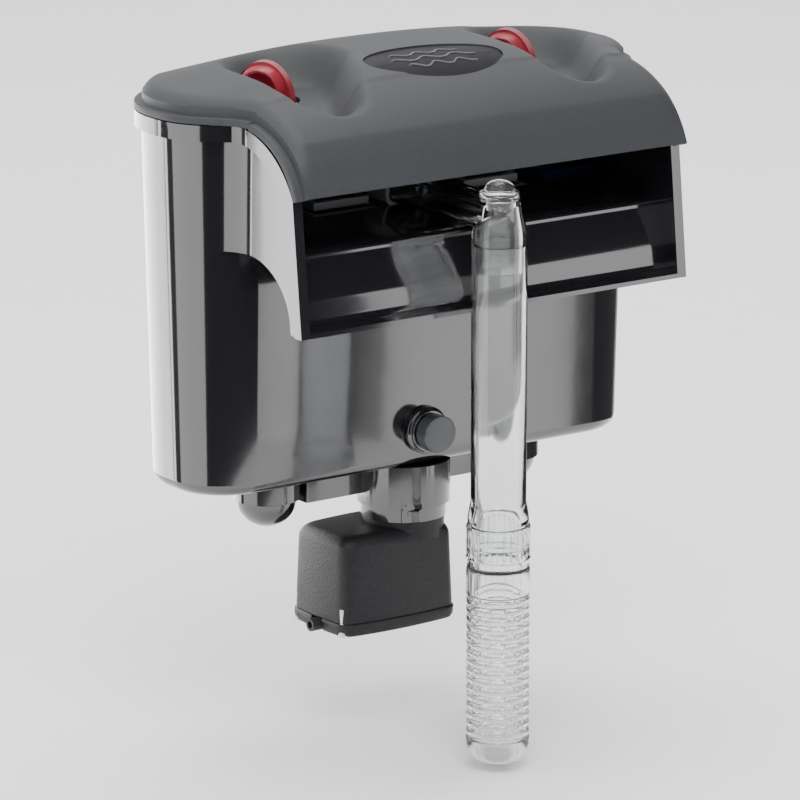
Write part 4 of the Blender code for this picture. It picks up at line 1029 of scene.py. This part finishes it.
def build_screen(finish):
    """Sleeve with ribs at the top, then stacked rings parted by staggered slots."""
    low, high = node_box("strainer_screen")
    centre = tube_place()
    outer = (high.x - low.x) / 2 - 0.05
    rib_bottom = high.z - SCREEN_TOP
    pitch = (rib_bottom - low.z - 1.0) / SCREEN_RINGS

    sleeve = [(SCREEN_INNER, high.z), (outer, high.z), (outer, rib_bottom), (SCREEN_INNER, rib_bottom)]
    yield new_object("screen_top", lambda bm: turned(bm, rounded(sleeve, 0.4), centre), finish)
    for k in range(SCREEN_RINGS):
        top = rib_bottom - pitch * k
        inner, side, start = SCREEN_INNER + 0.4, outer - 0.1, top - pitch * SCREEN_SLOT
        ring = rounded([(inner, start), (side, start), (side, top - pitch), (inner, top - pitch)], 0.45, 3)
        yield new_object(f"screen_ring_{k}", lambda bm: turned(bm, ring, centre, 80), finish)

    def bridges(bm):
        step = 360 / BRIDGES
        for k in range(SCREEN_RINGS):
            top = rib_bottom - pitch * k
            for m in range(BRIDGES):
                start = step * m + (step / 2 if k % 2 else 0.0)
                ring_wedge(bm, centre, SCREEN_INNER + 0.5, outer - 0.6, top - pitch * 0.45, top + 0.05,
                           start, start + BRIDGE_ANGLE)

    def ribs(bm):
        for m in range(SCREEN_RIBS):
            start = 360 / SCREEN_RIBS * m
            ring_wedge(bm, centre, outer - 0.4, outer + 0.04, rib_bottom + 0.8, high.z - 0.8,
                       start, start + SCREEN_RIB_ANGLE, 2)

    yield new_object("screen_bridges", bridges, finish)
    foot_r = outer - 0.4
    foot_top = low.z + SCREEN_FOOT
    foot = [(SCREEN_INNER, low.z), (foot_r, low.z), (foot_r, foot_top), (SCREEN_INNER, foot_top)]
    yield new_object("screen_foot", lambda bm: turned(bm, rounded(foot, 0.3), centre), finish)
    yield new_object("screen_ribs", ribs, finish)


def build_cap(finish):
    low, high = node_box("strainer_cap")
    radius = (high.x - low.x) / 2
    rim = high.z - CAP_RIM
    profile = [(radius, high.z), (radius, rim)] + dome(radius, rim, low.z - rim)
    profile += [(0.0, low.z + 1.5), (radius * 0.5, low.z + 2.6), (radius * 0.83, rim - 2.2)]
    profile.append((radius - 1.6, high.z))
    return new_object("cap", lambda bm: turned(bm, profile, tube_place()), finish, TURNED_SHARP)


def duct_section(grow):
    top = node_box("intake_elbow")[1].z
    middle = tube_place()[0]
    x = (middle - DUCT_HALF - grow, middle + DUCT_HALF + grow)
    return rounded_box(x, (DUCT_BOTTOM - grow, top + grow), DUCT_CORNER + grow)


def duct_solid(bm, grow, y0, y1):
    loft(bm, [[(x, y, z) for x, z in duct_section(grow)] for y in (y0, y1)])


def build_elbow(finish):
    low, high = node_box("intake_elbow")
    centre = tube_place()
    top = high.z + 0.001
    shoulder = [(0, low.z), (ELBOW_SHOULDER[0][0], low.z), *ELBOW_SHOULDER]
    shoulder += [(ELBOW_SHOULDER[-1][0], top), (0, top)]
    elbow = new_object("elbow", lambda bm: turned(bm, shoulder, centre), finish)
    add(elbow, lambda bm: duct_solid(bm, -0.01, centre[1], high.y))
    cut_turned(elbow, ELBOW_BORE, centre)
    cut(elbow, lambda bm: duct_solid(bm, -DUCT_WALL, centre[1], DUCT_END))
    drill(elbow, *PLUG_HOLE, centre)
    soften(elbow, ELBOW_EDGE, 3)
    apply_modifiers(elbow)
    return elbow


def build_plug(finish):
    low, high = node_box("elbow_plug")
    radius, start = PLUG_DOME
    profile = [(0, low.z), (PLUG_STEM, low.z), *PLUG_SIDE]
    profile += dome(radius, start, high.z - start, range(8, 91, 8)) + [(0.0, high.z)]
    return new_object("plug", lambda bm: turned(bm, profile, tube_place()), finish, TURNED_SHARP)


def build_foot(ring_finish, disc_finish):
    low, high = node_box("levelling_ring")
    middle = node_centre("levelling_ring")
    centre = (middle.x, 0, middle.z)
    radius = (high.x - low.x) / 2
    step_end, step_start, step_depth = FOOT_STEP
    ring = [(FOOT_BORE, high.y), (radius, high.y), (radius, low.y + step_end),
            (radius - step_depth, low.y + step_start), (radius - step_depth, low.y), (FOOT_BORE, low.y)]
    disc_back = low.y - FOOT_GAP
    low, high = node_box("levelling_foot")
    disc_r = (high.x - low.x) / 2
    disc = [(0, low.y), (disc_r, low.y), (disc_r, disc_back), (FOOT_STEM, disc_back), (FOOT_STEM, high.y)]
    disc.append((0, high.y))
    rows = zip(("foot_ring", "foot_disc"), (ring, disc), FOOT_EDGES, (ring_finish, disc_finish))
    for name, profile, edge, finish in rows:
        yield new_object(name, lambda bm: turned(bm, rounded(profile, edge), centre, FINE, "Y"), finish)


# ---- finishes


def new_finish(name, base, rough, settings=None):
    finish = bpy.data.materials.new(name)
    finish.use_nodes = True
    tree = finish.node_tree
    surface = tree.nodes["Principled BSDF"]
    surface.inputs["Base Color"].default_value = (*base, 1.0)
    surface.inputs["Roughness"].default_value = rough
    for setting, value in (settings or {}).items():
        surface.inputs[setting].default_value = value
    return finish, tree, surface


def texture(tree, kind, scale, **settings):
    """A texture node on object coordinates."""
    node = tree.nodes.new(kind)
    node.inputs["Scale"].default_value = scale
    for setting, value in settings.items():
        node.inputs[setting].default_value = value
    place = tree.nodes.new("ShaderNodeTexCoord")
    tree.links.new(place.outputs["Object"], node.inputs["Vector"])
    return node


def noise(tree, scale, detail=4.0, rough=0.55):
    return texture(tree, "ShaderNodeTexNoise", scale, Detail=detail, Roughness=rough).outputs["Fac"]


def cells(tree, scale):
    return texture(tree, "ShaderNodeTexVoronoi", scale).outputs["Distance"]


def colour(tree, surface, value, stops):
    """Colours the surface by a texture's value, between (position, colour) stops."""
    node = tree.nodes.new("ShaderNodeValToRGB")
    for element, (position, tint) in zip(node.color_ramp.elements, stops):
        element.position = position
        element.color = (*tint, 1.0)
    tree.links.new(value, node.inputs["Fac"])
    tree.links.new(node.outputs["Color"], surface.inputs["Base Color"])


def gloss(tree, surface, value, low, high):
    """Maps a texture's 0 to 1 onto a range of roughness."""
    node = tree.nodes.new("ShaderNodeMapRange")
    node.inputs["To Min"].default_value = low
    node.inputs["To Max"].default_value = high
    tree.links.new(value, node.inputs["Value"])
    tree.links.new(node.outputs["Result"], surface.inputs["Roughness"])


def bump(tree, surface, height, strength, distance, below=None):
    node = tree.nodes.new("ShaderNodeBump")
    node.inputs["Strength"].default_value = strength
    node.inputs["Distance"].default_value = distance
    tree.links.new(height, node.inputs["Height"])
    if below:
        tree.links.new(below, node.inputs["Normal"])
    tree.links.new(node.outputs["Normal"], surface.inputs["Normal"])
    return node.outputs["Normal"]


def moulded(name, base, rough, relief=None, shine=None, tints=None, settings=None):
    """A finish whose relief, shine and colour each follow a noise of their own.

    relief is (scale, detail, strength, depth), shine is (scale, detail, lowest, highest roughness), and
    tints is (scale, detail, first stop, second stop).
    """
    finish, tree, surface = new_finish(name, base, rough, settings)
    if shine:
        scale, detail, low, high = shine
        gloss(tree, surface, noise(tree, scale, detail), low, high)
    if tints:
        scale, detail, *stops = tints
        colour(tree, surface, noise(tree, scale, detail), stops)
    if relief:
        scale, detail, strength, depth = relief
        bump(tree, surface, noise(tree, scale, detail), strength, depth)
    return finish


def lid_grey():
    """Fine spark-eroded grain, matt."""
    finish, tree, surface = new_finish("lid_grain", (0.03, 0.032, 0.035), 0.6, {"Specular IOR Level": 0.4})
    grain = noise(tree, 2600.0, 3.0, 0.7)
    colour(tree, surface, grain, ((0.25, (0.02, 0.0215, 0.0245)), (0.75, (0.04, 0.043, 0.047))))
    gloss(tree, surface, noise(tree, 14.0), 0.5, 0.6)
    bump(tree, surface, grain, 0.5, 0.00025)
    return finish


def motor_black():
    """Coarse moulded texture on the pump, with painted shade in its pits."""
    base = (0.009, 0.009, 0.011)
    finish, tree, surface = new_finish("motor_texture", base, 0.5, {"Specular IOR Level": 0.3})
    pits = cells(tree, 1500.0)
    # The pits are painted darker than the surface round them: painted shade in the pits.
    colour(tree, surface, pits, ((0.1, (0.004, 0.004, 0.005)), (0.7, (0.012, 0.012, 0.014))))
    gloss(tree, surface, noise(tree, 90.0), 0.38, 0.52)
    bump(tree, surface, pits, 0.5, 0.00022)
    return finish


def copper():
    """Enamelled wire laid in turns."""
    finish, tree, surface = new_finish("copper_wire", (0.62, 0.26, 0.1), 0.28, {"Metallic": 1.0})
    turns = texture(tree, "ShaderNodeTexWave", 320.0, Distortion=0.4)
    turns.bands_direction = "Z"
    # The grooves between the turns are painted darker than their crests: painted shade between the turns.
    colour(tree, surface, turns.outputs["Fac"], ((0.2, (0.35, 0.12, 0.04)), (0.8, (0.7, 0.31, 0.13))))
    bump(tree, surface, turns.outputs["Fac"], 0.6, 0.0003)
    return finish


def foam(name, dark, light, scale, strength):
    """Open-cell foam, fleece or granules: cells that dent the surface, with painted shade in their hollows.
    """
    finish, tree, surface = new_finish(name, light, 0.9, {"Specular IOR Level": 0.2})
    pores = cells(tree, scale)
    # The cells' hollows take the dark colour: painted shade in the pores.
    colour(tree, surface, pores, ((0.05, dark), (0.65, light)))
    below = bump(tree, surface, noise(tree, scale * 0.35), strength * 0.5, 0.001)
    bump(tree, surface, pores, strength, 0.0009, below)
    return finish


CLEAR = (0.965, 0.972, 0.975)
FINISHES = {
    # Polished moulded plastic: a faint orange peel and light dust in the gloss.
    "case_gloss": moulded(
        "case_black", (0.0065, 0.0066, 0.0085), 0.1, (70.0, 2.0, 0.05, 0.0006), (26.0, 5.0, 0.07, 0.15),
        (900.0, 2.0, (0.3, (0.006, 0.006, 0.0078)), (0.75, (0.009, 0.009, 0.0115))),
        {"Specular IOR Level": 0.9, "Coat Weight": 0.6, "Coat Roughness": 0.05, "Coat IOR": 1.6}),
    "lid_matte": lid_grey(),
    "badge_black": moulded(
        "badge_face", (0.005, 0.005, 0.007), 0.5, (1500.0, 2.0, 0.12, 0.0001), (60.0, 4.0, 0.42, 0.55),
        settings={"Specular IOR Level": 0.1}),
    "knob_red": moulded(
        "knob_crimson", (0.22, 0.011, 0.022), 0.34, (1300.0, 2.0, 0.08, 0.0001), (220.0, 3.0, 0.28, 0.4),
        (45.0, 4.0, (0.3, (0.19, 0.009, 0.019)), (0.75, (0.245, 0.013, 0.026))),
        {"Subsurface Weight": 0.04, "Subsurface Radius": (0.003, 0.0008, 0.0008)}),
    "motor_matte": motor_black(),
    # Clear moulded tube: sees through, with a thin haze and flow lines.
    "clear_plastic": moulded(
        "clear_acrylic", CLEAR, 0.04, (180.0, 2.0, 0.03, 0.0004), (120.0, 4.0, 0.02, 0.12),
        (60.0, 3.0, (0.2, tuple(value * 0.97 for value in CLEAR)), (0.8, CLEAR)),
        {"IOR": 1.49, "Transmission Weight": 1.0}),
    "rubber_black": moulded(
        "rubber", (0.012, 0.012, 0.013), 0.6, (1800.0, 3.0, 0.2, 0.0001), (200.0, 4.0, 0.5, 0.75)),
    "steel": moulded(
        "brushed_steel", (0.6, 0.6, 0.61), 0.3, (2200.0, 2.0, 0.1, 0.00005), (700.0, 5.0, 0.2, 0.42),
        settings={"Metallic": 1.0}),
    "ceramic": moulded(
        "ceramic_white", (0.72, 0.71, 0.68), 0.25, (1200.0, 2.0, 0.06, 0.0001),
        tints=(240.0, 4.0, (0.3, (0.66, 0.65, 0.62)), (0.7, (0.76, 0.75, 0.72)))),
    "copper": copper(),
    "magnet": moulded(
        "ferrite", (0.03, 0.03, 0.032), 0.5, (1500.0, 4.0, 0.3, 0.0001),
        tints=(800.0, 5.0, (0.3, (0.02, 0.02, 0.022)), (0.7, (0.05, 0.05, 0.053)))),
    "basket_grey": moulded(
        "basket_plastic", (0.1, 0.105, 0.11), 0.4, (1200.0, 2.0, 0.12, 0.0001), (150.0, 4.0, 0.32, 0.48)),
    # Each foam's first colour is the painted shade in its pores, and the second is its own colour.
    "sponge_blue": foam("sponge_foam", (0.003, 0.009, 0.026), (0.012, 0.04, 0.11), 900.0, 0.8),
    "floss_white": foam("floss_fleece", (0.55, 0.56, 0.57), (0.85, 0.86, 0.86), 1800.0, 0.7),
    "carbon_bag": foam("carbon_granules", (0.004, 0.004, 0.004), (0.035, 0.035, 0.036), 420.0, 1.0),
    "bio_clay": foam("clay_media", (0.18, 0.08, 0.04), (0.45, 0.24, 0.13), 300.0, 1.0),
}
WAVE_FINISH = moulded(
    "badge_wave", (0.035, 0.036, 0.045), 0.3, (1100.0, 2.0, 0.1, 0.0001),
    tints=(300.0, 3.0, (0.3, (0.028, 0.029, 0.037)), (0.7, (0.045, 0.046, 0.056))))
FOOT_FINISH = moulded(
    "foot_satin", (0.05, 0.052, 0.057), 0.3, (900.0, 3.0, 0.12, 0.0001), (150.0, 4.0, 0.22, 0.38))
FLOOR_FINISH = moulded(
    "floor_paper", (0.93, 0.93, 0.93), 0.95,
    tints=(40.0, 4.0, (0.3, (0.92, 0.92, 0.92)), (0.7, (0.94, 0.94, 0.94))),
    settings={"Specular IOR Level": 0.0})


def stands_for(piece, node, body):
    """piece rides the body and is shown in the node's place."""
    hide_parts(node)
    rides(piece, body)


def rides(piece, body):
    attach(piece, body)


def build_shell():
    stands_for(build_case(FINISHES["case_gloss"]), "filter_case", "case")
    stands_for(build_lid(FINISHES["lid_matte"]), "lid", "lid")
    plate, *waves = build_badge(FINISHES["badge_black"], WAVE_FINISH)
    stands_for(plate, "badge_plate", "lid")
    for wave in waves:
        rides(wave, "lid")
    for side in SIDES:
        stands_for(build_knob(side, FINISHES["knob_red"]), f"{side}_flow_knob", f"{side}_knob")
        stands_for(build_cup(side, FINISHES["case_gloss"]), f"{side}_valve_cup", "case")


def build_pump():
    mould = FINISHES["motor_matte"]
    stands_for(build_manifold(FINISHES["case_gloss"]), "flow_manifold", "case")
    stands_for(build_motor(mould), "motor_housing", "motor")
    stands_for(build_base_plate(mould), "motor_base_plate", "motor")
    for number in range(1, SCREW_COUNT + 1):
        stands_for(build_screw(number, FINISHES["steel"]), f"base_screw_{number}", "motor")


def build_intake():
    clear = FINISHES["clear_plastic"]
    stands_for(build_tube(clear), "intake_tube", "tube")
    stands_for(build_elbow(clear), "intake_elbow", "case")
    stands_for(build_plug(clear), "elbow_plug", "case")
    *ribs, ring = build_collar(clear)
    for rib in ribs:
        rides(rib, "strainer")
    stands_for(ring, "strainer_collar", "strainer")
    first, *others = build_screen(clear)
    stands_for(first, "strainer_screen", "strainer")
    for piece in others:
        rides(piece, "strainer")
    stands_for(build_cap(clear), "strainer_cap", "strainer")


def build_levelling():
    ring, disc = build_foot(FINISHES["case_gloss"], FOOT_FINISH)
    stands_for(ring, "levelling_ring", "levelling_nut")
    stands_for(disc, "levelling_foot", "levelling_screw")


def dress_inner_nodes():
    """The carried-over nodes take their slot's finish, with their edges softened."""
    for name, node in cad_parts.items():
        if node.hide_render:
            continue
        finish = FINISHES[node.data.materials[0].name.split(".")[0]]
        node.data.materials.clear()
        node.data.materials.append(finish)
        node.data.shade_smooth()
        node.data.set_sharp_from_angle(angle=radians(SHARP))
        padding = any(word in name for word in ("sponge", "floss", "media"))
        soften(node, SOFT_EDGE if padding else HARD_EDGE)


# ---- studio

WORLD_GLOW = 1.35
LIGHT_TARGET = (0.0, 0.0, -0.04)
LIGHTS = (  # name, place, size in metres, power
    ("key", (-0.7, -1.2, 1.7), (1.1, 1.1), 34.0),
    ("top", (0.2, 0.5, 1.9), (1.6, 1.2), 30.0),
)
FLOOR_REACH = 9.0
FLOOR_DROP = 0.0015
CAMERA_PLACE = (-1.2915, -1.7808, 0.4892)
CAMERA_TURN = (75.7, 0.0, -35.5)
CAMERA_LENS = 255.4
CAMERA_CLIP = (0.05, 40.0)
STRIP_STEP = 4  # degrees of the tent per flat
TENT_RADIUS = 0.38
TENT_LOW = (-0.2085, 0.055)
TENT_HIGH = (0.055, 0.8)
# Bearings from +Y towards +X in degrees, and the glow that gloss surfaces mirror there.
TENT_LOW_STRIPS = (
    (-44.5, 6.0, 7.0),
    (-46.3, -44.5, 0.3),
    (-50.5, -46.3, 7.0),
    (-61.0, -50.5, 0.15),
    (-105.0, -61.0, 2.6),
    (-204.5, -105.0, 0.05),
    (149.7, 155.5, 2.7),
    (146.1, 149.7, 0.25),
    (132.6, 146.1, 2.7),
    (70.0, 132.6, 0.1),
    (6.0, 70.0, 0.5),
)
TENT_HIGH_STRIPS = (
    (80.0, 185.0, 0.02),
    (-175.0, -60.0, 1.0),
    (-60.0, 80.0, 1.4),
)


def area_light(name, place, size, power):
    """A lamp aimed at the object's middle."""
    data = bpy.data.lights.new(name, "AREA")
    data.shape = "RECTANGLE"
    data.size, data.size_y = size
    data.energy = power
    lamp = linked(name, data)
    lamp.location = place
    lamp.rotation_euler = (Vector(LIGHT_TARGET) - Vector(place)).to_track_quat("-Z", "Z").to_euler()


def tent_strip(name, heights, start, end, strength):
    """One upright strip of the tent round the object: only gloss reflections see it."""
    finish = bpy.data.materials.new(name)
    finish.use_nodes = True
    tree = finish.node_tree
    tree.nodes.clear()
    glow = tree.nodes.new("ShaderNodeEmission")
    glow.inputs["Strength"].default_value = strength
    out = tree.nodes.new("ShaderNodeOutputMaterial")
    tree.links.new(glow.outputs["Emission"], out.inputs["Surface"])
    steps = max(2, round(abs(end - start) / STRIP_STEP))
    verts = []
    for k in range(steps + 1):
        turn = radians(start + (end - start) * k / steps)
        x, y = TENT_RADIUS * sin(turn), TENT_RADIUS * cos(turn)
        verts += [(x, y, heights[0]), (x, y, heights[1])]
    mesh = bpy.data.meshes.new(name)
    mesh.from_pydata(verts, [], [(2 * k, 2 * k + 2, 2 * k + 3, 2 * k + 1) for k in range(steps)])
    mesh.materials.append(finish)
    strip = linked(name, mesh)
    for ray in ("camera", "shadow", "diffuse", "transmission", "volume_scatter"):
        setattr(strip, f"visible_{ray}", False)


def build_stage():
    floor_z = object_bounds()[0].z - FLOOR_DROP
    corners = ((-1, -1), (1, -1), (1, 1), (-1, 1))
    mesh = bpy.data.meshes.new("floor")
    mesh.from_pydata([(x * FLOOR_REACH, y * FLOOR_REACH, floor_z) for x, y in corners], [], [(0, 1, 2, 3)])
    mesh.materials.append(FLOOR_FINISH)
    linked("floor", mesh)
    world = bpy.data.worlds.new("studio")
    bpy.context.scene.world = world
    world.use_nodes = True
    background = world.node_tree.nodes["Background"]
    background.inputs["Color"].default_value = (1.0, 1.0, 1.0, 1.0)
    background.inputs["Strength"].default_value = WORLD_GLOW


def build_lights():
    for light in LIGHTS:
        area_light(*light)
    for tier, heights, strips in (("low", TENT_LOW, TENT_LOW_STRIPS), ("high", TENT_HIGH, TENT_HIGH_STRIPS)):
        for number, (start, end, strength) in enumerate(strips, 1):
            tent_strip(f"tent_{tier}_{number}", heights, start, end, strength)


def build_camera():
    data = bpy.data.cameras.new("camera")
    data.lens = CAMERA_LENS
    data.clip_start, data.clip_end = CAMERA_CLIP
    camera = linked("camera", data)
    camera.location = CAMERA_PLACE
    camera.rotation_euler = [radians(angle) for angle in CAMERA_TURN]
    bpy.context.scene.camera = camera


build_shell()
build_pump()
build_intake()
build_levelling()
dress_inner_nodes()
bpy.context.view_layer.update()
build_stage()
build_lights()
build_camera()
